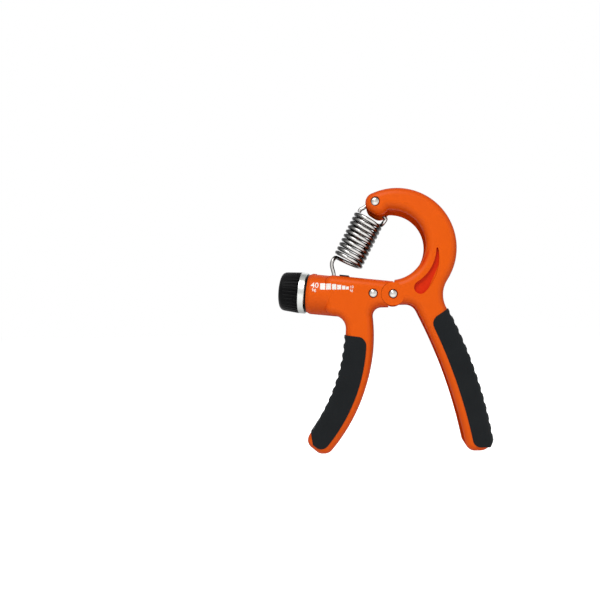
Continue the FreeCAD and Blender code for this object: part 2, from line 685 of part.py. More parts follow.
circle(made, ANCHOR_X, ANCHOR_Z, "%s + %s" % (cell("rivet_round"), cell("press_gap")))
hook.pocket(made)
SEAT = "(%s + %s)" % (cell("rivet_head"), cell("rivet_seat_gap"))


def hook_seats(made):
    circle(made, "0", "0", SEAT)
    circle(made, ANCHOR_X, ANCHOR_Z, SEAT)


def teardrop(made):
    outline(made, [
        Round(cell("teardrop_x"), cell("teardrop_z"), cell("teardrop_round")),
        Blend(cell("teardrop_out")),
        Round(cell("teardrop_tip_x"), cell("teardrop_tip_z"), cell("teardrop_tip_round")),
        Blend(cell("teardrop_in"), -1),
    ])


both_faces(hook, cell("rivet_seat"), hook_seats)
both_faces(hook, cell("teardrop_deep"), teardrop)
rubber_seat(
    hook, straight_grip, straight_edge,
    "(%s - %s)" % (cell("straight_outer_round"), cell("grip_side")),
    "(%s + 6)" % cell("straight_outer_round"))


def rubber(label, draw, core, centre, edge_round, side, first, pitch, count):
    """A handle's rubber: faces and outer edge in one piece, with hollows between finger ribs."""
    grip = Piece(label)
    edge = "(%s + %d * %s)" % (edge_round, side, cell("rib_proud"))
    made = grip.sketch()
    draw(made, cell("press_gap"), edge)
    grip.pad(made, "%s + 2 * %s" % (cell("body_thick"), cell("grip_proud")))
    half = value("%s + %s" % (HALF, cell("grip_proud")))
    x, z, far = value(centre[0]), value(centre[1]), value(edge)

    def flat(e):
        return all(abs(abs(v.Y) - half) < 1e-4 for v in e.Vertexes) and e.BoundBox.YLength < 1e-4

    def outer(e):
        middle = e.valueAt((e.FirstParameter + e.LastParameter) / 2)
        return flat(e) and abs(math.hypot(middle.x - x, middle.z - z) - far) < 1e-3

    grip.fillet("%s - 0.6" % cell("rim_round"), outer)
    made = grip.sketch(right=centre[0], up=centre[1])
    reach = "(%s + %d * (%s - %s))" % (edge, side, cell("groove_round"), cell("groove_deep"))
    circle(made, "%s * cos(%s)" % (reach, first), "%s * sin(%s)" % (reach, first), cell("groove_round"))
    groove = grip.pocket(made)
    pattern = grip.body.newObject("PartDesign::PolarPattern", "Hollows")
    pattern.Originals = [groove]
    pattern.Axis = (made, ["N_Axis"])
    pattern.Reversed = True
    pattern.setExpression("Occurrences", count)
    pattern.setExpression("Angle", "%s * (%s - 1)" % (pitch, count))
    grip.body.Tip = pattern
    doc.recompute()
    made = grip.sketch()
    outline(made, core)
    grip.pocket(made, "%s - 2 * (%s - %s) + 2 * %s" % (
        cell("body_thick"), cell("grip_wall"), cell("grip_proud"), cell("press_gap")))
    return grip


# The rubber of the hook's handle.
rubber("hook_handle_grip", straight_grip, [
    Straight("0", FOOT_Z, "0"),
    Round(*STRAIGHT_OUTER, "(%s - %s + %s)" % (
        cell("straight_outer_round"), cell("grip_side"), cell("press_gap"))),
    Straight("0", "0", "180"),
    Straight("0", "0", "270"),
], STRAIGHT_OUTER, cell("straight_outer_round"), 1, cell("groove_start_angle"), cell("groove_angle"),
    cell("groove_count"))

# The barrel's handle.
barrel = Piece("barrel_handle_body")
made = barrel.sketch()
outline(made, [
    Straight("0", FOOT_Z, "0"),
    Blend(cell("tip_round")),
    Round(*CURVED_INNER, cell("curved_inner_round")),
    Blend(cell("fork_round"), -1),
    Straight("0", cell("belly_z"), "0"),
    Blend(cell("stub_round")),
    Straight(cell("stub_reach"), "0", "90"),
    Blend(cell("stub_round")),
    Straight(cell("web_top_x"), cell("web_top_z"), cell("web_top_tilt")),
    Blend(cell("shoulder_round")),
    Straight(cell("root_x"), "0", "270"),
    Blend(cell("shoulder_round")),
    Straight("0", "-(%s + (%s - 0.4) / cos(%s))" % (
        cell("barrel_drop"), cell("barrel_round"), cell("barrel_tilt")), "-" + cell("barrel_tilt")),
    Blend(cell("armpit_round"), -1),
    Round(*CURVED_OUTER, cell("curved_outer_round"), -1),
    Blend(cell("tip_round")),
    curved_slant("0"),
    Blend(cell("tip_round")),
])
barrel.pad(made, cell("body_thick"))
barrel.fillet(cell("rim_round"), on_rim)
made = barrel.sketch()
polygon(made, [
    (cell("lip_x"), "-20"), ("25", "-20"), ("25", "20"),
    ("%s - %s" % (STOP_X, cell("stop_gap")), "20"), ("%s - %s" % (STOP_X, cell("stop_gap")), "0"),
    (cell("lip_x"), "0"),
])
barrel.pocket(made)
made = barrel.sketch()
circle(made, "0", "0", "%s - 0.1" % cell("ear_round"))
barrel.pad(made, cell("tongue_thick"))
both_faces(barrel, "(%s - %s / 2)" % (HALF, cell("tongue_thick")),
           lambda made: circle(made, "0", "0", "%s + %s" % (cell("ear_round"), cell("ear_gap"))))


def along_barrel(piece, plane="XZ_Plane", **more):
    """A sketch with its first axis along the barrel, towards the hinge."""
    return piece.sketch(plane, up="-" + cell("barrel_drop"), turn="-" + cell("barrel_tilt"), **more)


made = along_barrel(barrel)
polygon(made, [
    ("-" + cell("barrel_mouth"), "0"), ("-" + cell("barrel_toe"), "0"),
    ("-" + cell("barrel_toe"), cell("barrel_toe_round")),
    ("-" + cell("barrel_shoulder"), cell("barrel_round")),
    ("-(%s - %s)" % (cell("barrel_mouth"), cell("barrel_lip")), cell("barrel_round")),
    ("-" + cell("barrel_mouth"), "%s - 0.5 * %s" % (cell("barrel_round"), cell("barrel_lip"))),
])
barrel.turned("Revolution", made, "H_Axis")
made = along_barrel(barrel)
BUSH_STEP = "-(%s - %s - %s)" % (cell("barrel_mouth"), cell("bush_deep"), cell("press_gap"))
polygon(made, [
    ("-(%s + 1)" % cell("barrel_mouth"), "0"), ("-(%s - 0.6)" % cell("screw_end"), "0"),
    ("-(%s - 0.6)" % cell("screw_end"), "%s + %s" % (cell("screw_round"), cell("screw_fit"))),
    ("-" + cell("bore_end"), "%s + %s" % (cell("screw_round"), cell("screw_fit"))),
    ("-" + cell("bore_end"), cell("bore_round")), (BUSH_STEP, cell("bore_round")),
    (BUSH_STEP, "%s + %s" % (cell("bush_round"), cell("press_gap"))),
    ("-(%s + 1)" % cell("barrel_mouth"), "%s + %s" % (cell("bush_round"), cell("press_gap"))),
])
barrel.turned("Groove", made, "H_Axis")
SLOT_OUTER = "-(%s - %s)" % (cell("barrel_mouth"), cell("slot_land"))
made = along_barrel(barrel)
polygon(made, [
    (SLOT_OUTER, "0.5"), ("-" + cell("slot_inner"), "0.5"),
    ("-" + cell("slot_inner"), "16"), (SLOT_OUTER, "16"),
])
barrel.pocket(made, cell("slot_wide"))
made = barrel.sketch()
circle(made, "0", "0", "%s + %s" % (cell("rivet_round"), cell("rivet_fit")))
circle(made, KEEPER_X, KEEPER_Z, "%s + %s" % (cell("keeper_round"), cell("press_gap")))
barrel.pocket(made)
both_faces(barrel, cell("rivet_seat"), lambda made: circle(made, KEEPER_X, KEEPER_Z, SEAT))
rubber_seat(
    barrel, curved_grip, curved_edge,
    "(%s + %s)" % (cell("curved_outer_round"), cell("grip_side")),
    "(%s - 6)" % cell("curved_outer_round"))

# The rubber of the barrel's handle.
rubber("barrel_handle_grip", curved_grip, [
    Straight("-70", FOOT_Z, "0"),
    Straight("0", "0", "90"),
    Straight("0", "0", "180"),
    Round(*CURVED_OUTER, "(%s + %s - %s)" % (
        cell("curved_outer_round"), cell("grip_side"), cell("press_gap")), -1),
], CURVED_OUTER, cell("curved_outer_round"), -1, cell("curved_groove_start_angle"),
    cell("curved_groove_angle"), cell("curved_groove_count"))


def domed(round_out, foot, high):
    """Corners of a dome's profile from near its top to its foot, as radius and height."""
    return [("%s * sin(%d)" % (round_out, angle), "(%s + %s * cos(%d))" % (foot, high, angle))
            for angle in (22, 40, 56, 72)] + [(round_out, "(%s + 0.12 * %s)" % (foot, high))]


def rivet(name, x, z, shank):
    """A rivet in two halves: a post from the front, and a cap with a stem inside it from the back."""
    seat = "(%s - %s)" % (HALF, cell("rivet_seat"))
    top = "(%s + %s)" % (seat, cell("rivet_dome"))
    gap = cell("press_gap")
    dome = domed(cell("rivet_head"), seat, cell("rivet_dome"))
    post = Piece(name + "_post", x, z)
    made = post.sketch("XY_Plane")
    polygon(made, [("0", "-" + top)] + [(out, "-" + up) for out, up in dome] + [
        (cell("rivet_head"), "-" + seat),
        (shank, "-" + seat), (shank, cell("rivet_split")),
        ("%s + %s" % (cell("rivet_stem"), gap), cell("rivet_split")),
        ("%s + %s" % (cell("rivet_stem"), gap),
         "%s - %s - 0.3" % (cell("rivet_split"), cell("rivet_stem_long"))),
        ("0", "%s - %s - 0.3" % (cell("rivet_split"), cell("rivet_stem_long"))),
    ])
    post.turned("Revolution", made, "V_Axis")
    cap = Piece(name + "_cap", x, z)
    made = cap.sketch("XY_Plane")
    polygon(made, [
        ("0", top), ("0", "%s - %s" % (cell("rivet_split"), cell("rivet_stem_long"))),
        (cell("rivet_stem"), "%s - %s" % (cell("rivet_split"), cell("rivet_stem_long"))),
        (cell("rivet_stem"), "%s + %s" % (cell("rivet_split"), gap)),
        (shank, "%s + %s" % (cell("rivet_split"), gap)), (shank, seat),
        (cell("rivet_head"), seat),
    ] + dome[::-1])
    cap.turned("Revolution", made, "V_Axis")


rivet("hinge_rivet", "0", "0", cell("rivet_round"))
rivet("anchor_rivet", ANCHOR_X, ANCHOR_Z, cell("rivet_round"))
rivet("keeper_rivet", KEEPER_X, KEEPER_Z, cell("keeper_round"))


def on_barrel(label):
    """A piece whose own first axis lies along the barrel, towards the hinge."""
    return Piece(label, z="-" + cell("barrel_drop"), tilt=cell("barrel_tilt"))


def turned(label, corners):
    """A turned piece on the barrel's axis, from corners as outward distance and radius."""
    piece = on_barrel(label)
    made = piece.sketch()
    polygon(made, [("-(%s)" % out, far) for out, far in corners])
    piece.turned("Revolution", made, "H_Axis")
    return piece


PRESS = cell("press_gap")
BORE = "%s + %s" % (cell("screw_round"), cell("screw_fit"))
GROOVE = cell("keeper_rise") + " - " + cell("keeper_round") + " - " + cell("keeper_fit")
KEEPER_SIDE = "(%s + %s)" % (cell("keeper_round"), cell("keeper_fit"))
MOUTH = cell("barrel_mouth")
KNOB = "%s + %s + %s" % (MOUTH, cell("bush_flange"), cell("washer_gap"))
SHOULDER = "%s + %s" % (KNOB, cell("hub_long"))
SCREW_TIP = "%s + %s" % (SHOULDER, cell("screw_tail_long"))
turned("lead_screw", [
    (cell("screw_end"), "0"), (cell("screw_end"), cell("screw_round")),
    ("%s - %s" % (cell("keeper_along"), KEEPER_SIDE), cell("screw_round")),
    ("%s - %s" % (cell("keeper_along"), KEEPER_SIDE), GROOVE),
    ("%s + %s" % (cell("keeper_along"), KEEPER_SIDE), GROOVE),
    ("%s + %s" % (cell("keeper_along"), KEEPER_SIDE), cell("screw_round")),
    (SHOULDER, cell("screw_round")), (SHOULDER, cell("screw_tail_round")),
    (SCREW_TIP, cell("screw_tail_round")), (SCREW_TIP, "0"),
])

# The slider, its brass nut and the pin that carries the spring's lower hook.
SLIDER_OUT = "%s + %s" % (cell("slider_at"), cell("slider_outer"))
SLIDER_IN = "%s - %s" % (cell("slider_at"), cell("slider_inner"))
slider = turned("slider", [
    (SLIDER_IN, "0"), (SLIDER_IN, cell("slider_round")), (SLIDER_OUT, cell("slider_round")),
    (SLIDER_OUT, "0"),
])
made = slider.sketch()
polygon(made, [("-(%s)" % SLIDER_IN, "0"), ("-(%s)" % SLIDER_IN, cell("tower_top")),
               ("-(%s)" % SLIDER_OUT, cell("tower_top")), ("-(%s)" % SLIDER_OUT, "0")])
slider.pad(made, cell("tower_wide"))
POINTER_OUT = "-(%s - %s)" % (cell("slider_at"), cell("pointer_outer"))
POINTER_IN = "-(%s - %s)" % (cell("slider_at"), cell("pointer_inner"))
made = slider.sketch()
polygon(made, [(POINTER_IN, "1"), (POINTER_IN, cell("pointer_top")),
               (POINTER_OUT, cell("pointer_top")), (POINTER_OUT, "1")])
slider.pad(made, cell("tower_wide"))
made = slider.sketch()
polygon(made, [("-(%s + 1)" % SLIDER_OUT, cell("fork_floor")), ("-10", cell("fork_floor")),
               ("-10", "20"), ("-(%s + 1)" % SLIDER_OUT, "20")])
slider.pocket(made, "2 * (%s + %s)" % (cell("wire_round"), cell("wire_gap")))
made = slider.sketch()
circle(made, "-" + cell("slider_at"), cell("pin_rise"), "%s + %s" % (cell("pin_round"), PRESS))
slider.pocket(made)
made = slider.sketch()
INSERT_IN = "%s + %s" % (SLIDER_IN, cell("insert_floor"))
polygon(made, [
    ("-(%s - 1)" % SLIDER_IN, "0"), ("-(%s - 1)" % SLIDER_IN, BORE), ("-(%s)" % INSERT_IN, BORE),
    ("-(%s)" % INSERT_IN, "%s + %s" % (cell("insert_round"), PRESS)),
    ("-(%s + 1)" % SLIDER_OUT, "%s + %s" % (cell("insert_round"), PRESS)),
    ("-(%s + 1)" % SLIDER_OUT, "0"),
])
slider.turned("Groove", made, "H_Axis")
turned("slider_nut", [
    ("%s + %s" % (INSERT_IN, PRESS), BORE), ("%s + %s" % (INSERT_IN, PRESS), cell("insert_round")),
    (SLIDER_OUT, cell("insert_round")), (SLIDER_OUT, BORE),
])
pin = on_barrel("spring_hook_pin")
made = pin.sketch()
circle(made, "-" + cell("slider_at"), cell("pin_rise"), cell("pin_round"))
pin.pad(made, "%s - 0.2" % cell("tower_wide"))

# The mouth of the barrel and the knob.
turned("barrel_end_bush", [
    ("%s - %s" % (MOUTH, cell("bush_deep")), BORE),
    ("%s - %s" % (MOUTH, cell("bush_deep")), cell("bush_round")),
    ("%s + %s" % (MOUTH, PRESS), cell("bush_round")),
    ("%s + %s" % (MOUTH, PRESS), cell("bush_flange_round")),
    ("%s + %s" % (MOUTH, cell("bush_flange")), cell("bush_flange_round")),
    ("%s + %s" % (MOUTH, cell("bush_flange")), BORE),
])
WASHER = "%s + %s + %s / 2" % (MOUTH, cell("bush_flange"), cell("washer_gap"))
turned("thrust_washer", [
    (WASHER, "%s + 0.1" % cell("screw_round")), (WASHER, cell("washer_round")),
    ("%s + %s" % (WASHER, cell("washer_thick")), cell("washer_round")),
    ("%s + %s" % (WASHER, cell("washer_thick")), "%s + 0.1" % cell("screw_round")),
])
RING_END = "%s + %s" % (KNOB, cell("ring_long"))
SPIGOT = "%s - %s" % (cell("ring_round"), cell("ring_wall"))
turned("knob_ring", [
    (KNOB, SPIGOT), (KNOB, "%s - 0.3" % cell("ring_round")), ("%s + 0.3" % KNOB, cell("ring_round")),
    ("%s - %s - 0.3" % (RING_END, PRESS), cell("ring_round")),
    ("%s - %s" % (RING_END, PRESS), "%s - 0.3" % cell("ring_round")),
    ("%s - %s" % (RING_END, PRESS), SPIGOT),
])
KNOB_END = "%s + %s + %s" % (RING_END, cell("knob_long"), cell("knob_dome"))
HUB = "%s + %s" % (cell("screw_round"), PRESS)
TAIL = "%s + %s" % (cell("screw_tail_round"), PRESS)
WELL = cell("nut_well_round")
NUT = "%s + %s" % (SHOULDER, cell("nut_floor"))
knob = turned("knob", [
    (KNOB, "%s + 0.3" % cell("washer_round")), (KNOB, "%s - %s" % (SPIGOT, PRESS)),
    (RING_END, "%s - %s" % (SPIGOT, PRESS)), (RING_END, cell("knob_round")),
] + [
    ("%s + %s + %s * sin(%d)" % (RING_END, cell("knob_long"), cell("knob_dome"), angle),
     "%s - %s * (1 - cos(%d))" % (cell("knob_end_round"), cell("knob_dome"), angle))
    for angle in (0, 20, 40, 60, 80)] + [
    (KNOB_END, "%s - %s" % (cell("knob_end_round"), cell("knob_dome"))), (KNOB_END, WELL),
    (NUT, WELL), (NUT, TAIL),
    ("%s + %s" % (SHOULDER, PRESS), TAIL), ("%s + %s" % (SHOULDER, PRESS), HUB),
    ("%s + %s" % (WASHER, cell("washer_thick")) + " + 0.05", HUB),
    ("%s + %s" % (WASHER, cell("washer_thick")) + " + 0.05", "%s + 0.3" % cell("washer_round")),
])
made = knob.sketch("YZ_Plane", out="-(%s + 0.01)" % RING_END)
circle(made, "0", "%s - %s + %s" % (cell("knob_round"), cell("flute_deep"), cell("flute_round")),
       cell("flute_round"))
flute = knob.pocket(made, cell("knob_long") + " + " + cell("knob_dome"), outward=False)
pattern = knob.body.newObject("PartDesign::PolarPattern", "Flutes")
pattern.Originals = [flute]
pattern.Axis = (role(knob.body, "X_Axis"), [""])
pattern.Angle = 360.0
pattern.setExpression("Occurrences", cell("flute_count"))
knob.body.Tip = pattern
doc.recompute()
nut = on_barrel("knob_nut")
made = nut.sketch("YZ_Plane", out="-(%s + %s + %s)" % (NUT, PRESS, cell("nut_thick")))
six = ["%s / (2 * cos(30)) * %s(%d)" % (cell("nut_flat"), turn, 60 * k + 30)
       for k in range(6) for turn in ("cos", "sin")]
polygon(made, [(six[2 * k], six[2 * k + 1]) for k in range(6)])
circle(made, "0", "0", TAIL)
nut.feature("Pad", made).setExpression("Length", cell("nut_thick"))
doc.recompute()
turned("knob_cap", [
    ("%s - %s" % (KNOB_END, cell("cap_thick")), "0"),
    ("%s - %s" % (KNOB_END, cell("cap_thick")), "%s - %s" % (WELL, PRESS)),
    (KNOB_END, "%s - %s" % (WELL, PRESS)), ("%s + 0.4" % KNOB_END, "%s - 1" % WELL),
    ("%s + 0.4" % KNOB_END, "0"),
])

# The spring, one wire: free end, loop round the anchor, coil, hook round the slider's pin.
PIN_X = "(-%s * cos(%s) + %s * sin(%s))" % (
    cell("slider_at"), cell("barrel_tilt"), cell("pin_rise"), cell("barrel_tilt"))
PIN_Z = "(%s * sin(%s) + %s * cos(%s) - %s)" % (
    cell("slider_at"), cell("barrel_tilt"), cell("pin_rise"), cell("barrel_tilt"),
    cell("barrel_drop"))
LEAN = "atan((%s - %s) / (%s - %s))" % (ANCHOR_X, PIN_X, ANCHOR_Z, PIN_Z)
lean = math.radians(value(LEAN))
anchor = (value(ANCHOR_X), value(ANCHOR_Z))
hook_pin = (value(PIN_X), value(PIN_Z))
wire = value(cell("wire_round"))
coil = value(cell("coil_round"))
bend = value(cell("bend_round"))
pitch = value(cell("coil_pitch"))


def own(x, z, y=0.0):
    """A place in the hinge's frame, in the spring's own frame from its anchor."""
    dx, dz = x - anchor[0], z - anchor[1]
    return Vector(dx * math.cos(lean) - dz * math.sin(lean), y,
                  dx * math.sin(lean) + dz * math.cos(lean))


def heading(degrees, turned_by=0.0):
    """A direction in the mid-plane, from an angle to the first axis."""
    angle = math.radians(degrees) + turned_by
    return Vector(math.cos(angle), 0, math.sin(angle))


def ring_point(centre, radius, degrees, side, turned_by=0.0):
    """A place on a circle in the mid-plane and the way along it, clockwise with side -1."""
    out = heading(degrees, turned_by)
    return centre + out * radius, heading(degrees + 90 * side, turned_by)


def coil_point(turn):
    """A place on the coil and the way along it, a number of turns from its first point."""
    first = math.asin(bend / coil)
    angle = first + 2 * math.pi * turn
    place = Vector(coil * math.cos(angle), coil * math.sin(angle),
                   -value(cell("coil_start")) - pitch * turn)
    way = Vector(-math.sin(angle), math.cos(angle), -pitch / (2 * math.pi * coil))
    return place, way.normalize()


def arc(start, way, end):
    """The arc that leaves one point along a direction and reaches another."""
    chord = end - start
    along = Vector(chord).normalize()
    aside = way - along * way.dot(along)
    if aside.Length < 1e-5:
        return Part.makeLine(start, end)
    angle = math.atan2(aside.Length, way.dot(along))
    middle = start + chord * 0.5 + aside.normalize() * (chord.Length / 2 * math.tan(angle / 2))
    return Part.Arc(start, middle, end).toShape()


def biarc(start, first, end, last):
    """Two arcs that join two points along given directions without a kink."""
    chord, both = end - start, first + last
    slack = 2 * (1 - first.dot(last))
    if slack < 1e-6:
        reach = chord.Length ** 2 / (4 * chord.dot(last))
    else:
        reach = (-chord.dot(both) + math.sqrt(chord.dot(both) ** 2 + slack * chord.Length ** 2)) / slack
    middle = (start + end + (first - last) * reach) * 0.5
    back = arc(end, last * -1, middle)
    return [arc(start, first, middle), Part.Wire([back]).Edges[0]]


loop = value("%s + %s + 0.05" % (cell("rivet_round"), cell("wire_round")))
hook_bend = value("%s + %s + 0.05" % (cell("pin_round"), cell("wire_round")))
here = Vector()
stops = [(Vector(-0.87 * coil, 0, value(cell("free_end_rise") + " - " + cell("coil_start"))), heading(90))]
stops.append((stops[0][0] + heading(90) * 2.2 * wire, heading(90)))
place, way = ring_point(here, loop, 150, -1)
stops.append((place - way * value(cell("loop_leg")), way))
for degrees in (150, 97, 44.5):
    stops.append(ring_point(here, loop, degrees, -1))
stops.append((stops[-1][0] + stops[-1][1] * value(cell("coil_leg")), stops[-1][1]))
stops.append((Vector(coil + 0.7 * wire, 0, value(cell("bend_rise") + " - " + cell("coil_start"))),
              heading(-95)))
turns = value(cell("coil_turns")) + 0.5 - math.asin(bend / coil) / math.pi
steps = 4 * int(value(cell("coil_turns")) + 1)
for k in range(steps + 1):
    stops.append(coil_point(turns * k / steps))
stops.append((Vector(-coil - 0.1 * wire, 0, stops[-1][0].z - value(cell("bend_fall"))), heading(-88)))
place, way = ring_point(own(*hook_pin), hook_bend, 180, 1, lean)
stops.append((place - way * value(cell("pin_leg")), way))
for degrees in (180, 270, 360):
    stops.append(ring_point(own(*hook_pin), hook_bend, degrees, 1, lean))
stops.append((stops[-1][0] + stops[-1][1] * 2.2 * wire, stops[-1][1]))
edges = []
for (start, first), (end, last) in zip(stops, stops[1:]):
    straight = (end - start).normalize()
    if (straight - first).Length < 1e-6 and (straight - last).Length < 1e-6:
        edges.append(Part.makeLine(start, end))
    else:
        edges.extend(biarc(start, first, end, last))
path = Part.Wire(Part.__sortEdges__(edges))
profile = Part.Wire(Part.makeCircle(wire, stops[0][0], stops[0][1]))
tube = path.makePipeShell([profile], True, False)
line = path.discretize(Distance=0.4)
gap = min((p - q).Length for i, p in enumerate(line) for q in line[i + 16:]) - 2 * wire
print("spring: least gap to itself %.2f mm, %.2f turns, wire %.1f mm" % (gap, turns, 2 * wire))
spring = doc.addObject("Part::Feature", "Spring")
spring.Label = "tension_spring"
spring.Shape = tube
spring.Placement = FreeCAD.Placement(Vector(), FreeCAD.Rotation(Vector(0, 1, 0), 1))
spring.setExpression("Placement.Base.x", "%s + %s" % (cell("hinge_x"), ANCHOR_X))
spring.setExpression("Placement.Base.z", "%s + %s" % (cell("hinge_z"), ANCHOR_Z))
spring.setExpression("Placement.Rotation.Angle", LEAN)
Piece.made.append(spring)

doc.recompute()
os.makedirs("parts", exist_ok=True)
for thing in doc.Objects:
    if "Invalid" in thing.State or "Error" in thing.State:
        raise ValueError("%s does not compute" % thing.Label)
for piece in Piece.made:
    shape = piece.Shape
    if shape.isNull() or not shape.isValid() or len(shape.Solids) != 1:
        raise ValueError("%s is not one sound solid" % piece.Label)
    shape.exportStep("parts/%s.step" % piece.Label)
print("%d pieces" % len(Piece.made))
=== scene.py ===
"""Looks of the adjustable hand grip: finishes, spring, screw thread and load scale on the CAD frame."""

import logging
import math
from dataclasses import dataclass, replace
from enum import Enum

import bmesh
import bpy
from mathutils import Matrix, Vector
from mathutils.bvhtree import BVHTree


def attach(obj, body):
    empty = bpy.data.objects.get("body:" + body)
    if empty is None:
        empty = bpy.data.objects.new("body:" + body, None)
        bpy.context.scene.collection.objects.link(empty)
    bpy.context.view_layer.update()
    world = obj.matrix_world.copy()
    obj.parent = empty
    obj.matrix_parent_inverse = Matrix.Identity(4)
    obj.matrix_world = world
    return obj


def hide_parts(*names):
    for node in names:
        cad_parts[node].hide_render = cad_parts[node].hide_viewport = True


log = logging.getLogger("hand_grip")

MM = 0.001
HINGE = Vector((4.68, 0.0, 79.2)) * MM
BARREL_TILT = math.radians(6.5)
BARREL_DROP = 3.4 * MM
PIN_OUT = 29.12 * MM
PIN_UP = 7.83 * MM
HOOK_CENTRE_OUT = 2.4 * MM
HOOK_MIDDLE_RADIUS = 25.05 * MM
ANCHOR_OVER_CENTRE = 22.8 * MM
ANCHOR_RISE = 46.0 * MM
# Where the painted shade in the drop-shaped pocket on the hook's faces lies
HOLLOW_FOOT = HINGE + Vector((13.6, 0.0, 2.9)) * MM
HOLLOW_RUN = Vector((8.7, 0.0, 19.0)) * MM
HOLLOW_WITHIN = 3.6 * MM
HOLLOW_BEYOND = 4.0 * MM
PHOTO_SIDE = 600


class Pattern(Enum):
    """How a surface breaks up close to."""

    GRAINED = "grained"
    PEBBLED = "pebbled"


def linear(red: int, green: int, blue: int) -> tuple[float, float, float, float]:
    """A colour as the screen writes it, in the shader's own scale.

    Args:
        red: red from 0 to 255.
        green: green from 0 to 255.
        blue: blue from 0 to 255.

    Returns:
        The linear colour with full alpha.
    """
    parts = [c / 255 for c in (red, green, blue)]
    return (*[p / 12.92 if p <= 0.04045 else ((p + 0.055) / 1.055) ** 2.4 for p in parts], 1.0)


class ShaderTree:
    """Short ways to add and join shader nodes in one tree."""

    def __init__(self, tree: bpy.types.NodeTree) -> None:
        """Takes the tree that is filled.

        Args:
            tree: the node tree.
        """
        self.tree = tree

    def add(self, kind: str, **settings: object) -> bpy.types.Node:
        """Adds a node.

        Args:
            kind: the node's type name without the leading ShaderNode.
            settings: attributes, or input values under the input's name with _ for a blank.

        Returns:
            The new node.
        """
        node = self.tree.nodes.new("ShaderNode" + kind)
        for name, value in settings.items():
            socket = node.inputs.get(name.replace("_", " "))
            if hasattr(node, name) or socket is None:
                setattr(node, name, value)
            else:
                socket.default_value = value
        return node

    def join(self, source: bpy.types.NodeSocket, target: bpy.types.NodeSocket) -> None:
        """Links one socket to another.

        Args:
            source: an output.
            target: an input.
        """
        self.tree.links.new(source, target)

    def maths(self, operation: str, first: object, second: object = 0.0) -> bpy.types.NodeSocket:
        """Adds a Math node.

        Args:
            operation: the node's operation.
            first: a socket or a number.
            second: a socket or a number.

        Returns:
            The node's output.
        """
        node = self.add("Math", operation=operation)
        for socket, value in zip(node.inputs, (first, second)):
            self.feed(value, socket)
        return node.outputs[0]

    def vectors(self, operation: str, *given: object) -> bpy.types.Node:
        """Adds a Vector Math node.

        Args:
            operation: the node's operation.
            given: a socket or a value for each input, in order.

        Returns:
            The node.
        """
        node = self.add("VectorMath", operation=operation)
        for socket, value in zip(node.inputs, given):
            self.feed(value, socket)
        return node

    def feed(self, value: object, socket: bpy.types.NodeSocket) -> None:
        """Links a socket to an input, or sets the input to a plain value.

        Args:
            value: a socket or a plain value.
            socket: the input.
        """
        if isinstance(value, bpy.types.NodeSocket):
            self.join(value, socket)
        else:
            socket.default_value = value

    def mix(self, share: object, first: object, second: object) -> bpy.types.NodeSocket:
        """Mixes two colours.

        Args:
            share: how much of the second, as a socket or a number.
            first: a socket or a colour.
            second: a socket or a colour.

        Returns:
            The mixed colour.
        """
        node = self.add("Mix", data_type="RGBA")
        colours = [socket for socket in node.inputs if socket.type == "RGBA"]
        for value, socket in ((share, node.inputs[0]), (first, colours[0]), (second, colours[1])):
            self.feed(value, socket)
        return next(socket for socket in node.outputs if socket.type == "RGBA")


StartedGroup = tuple[bpy.types.NodeTree, ShaderTree, bpy.types.Node, bpy.types.Node]


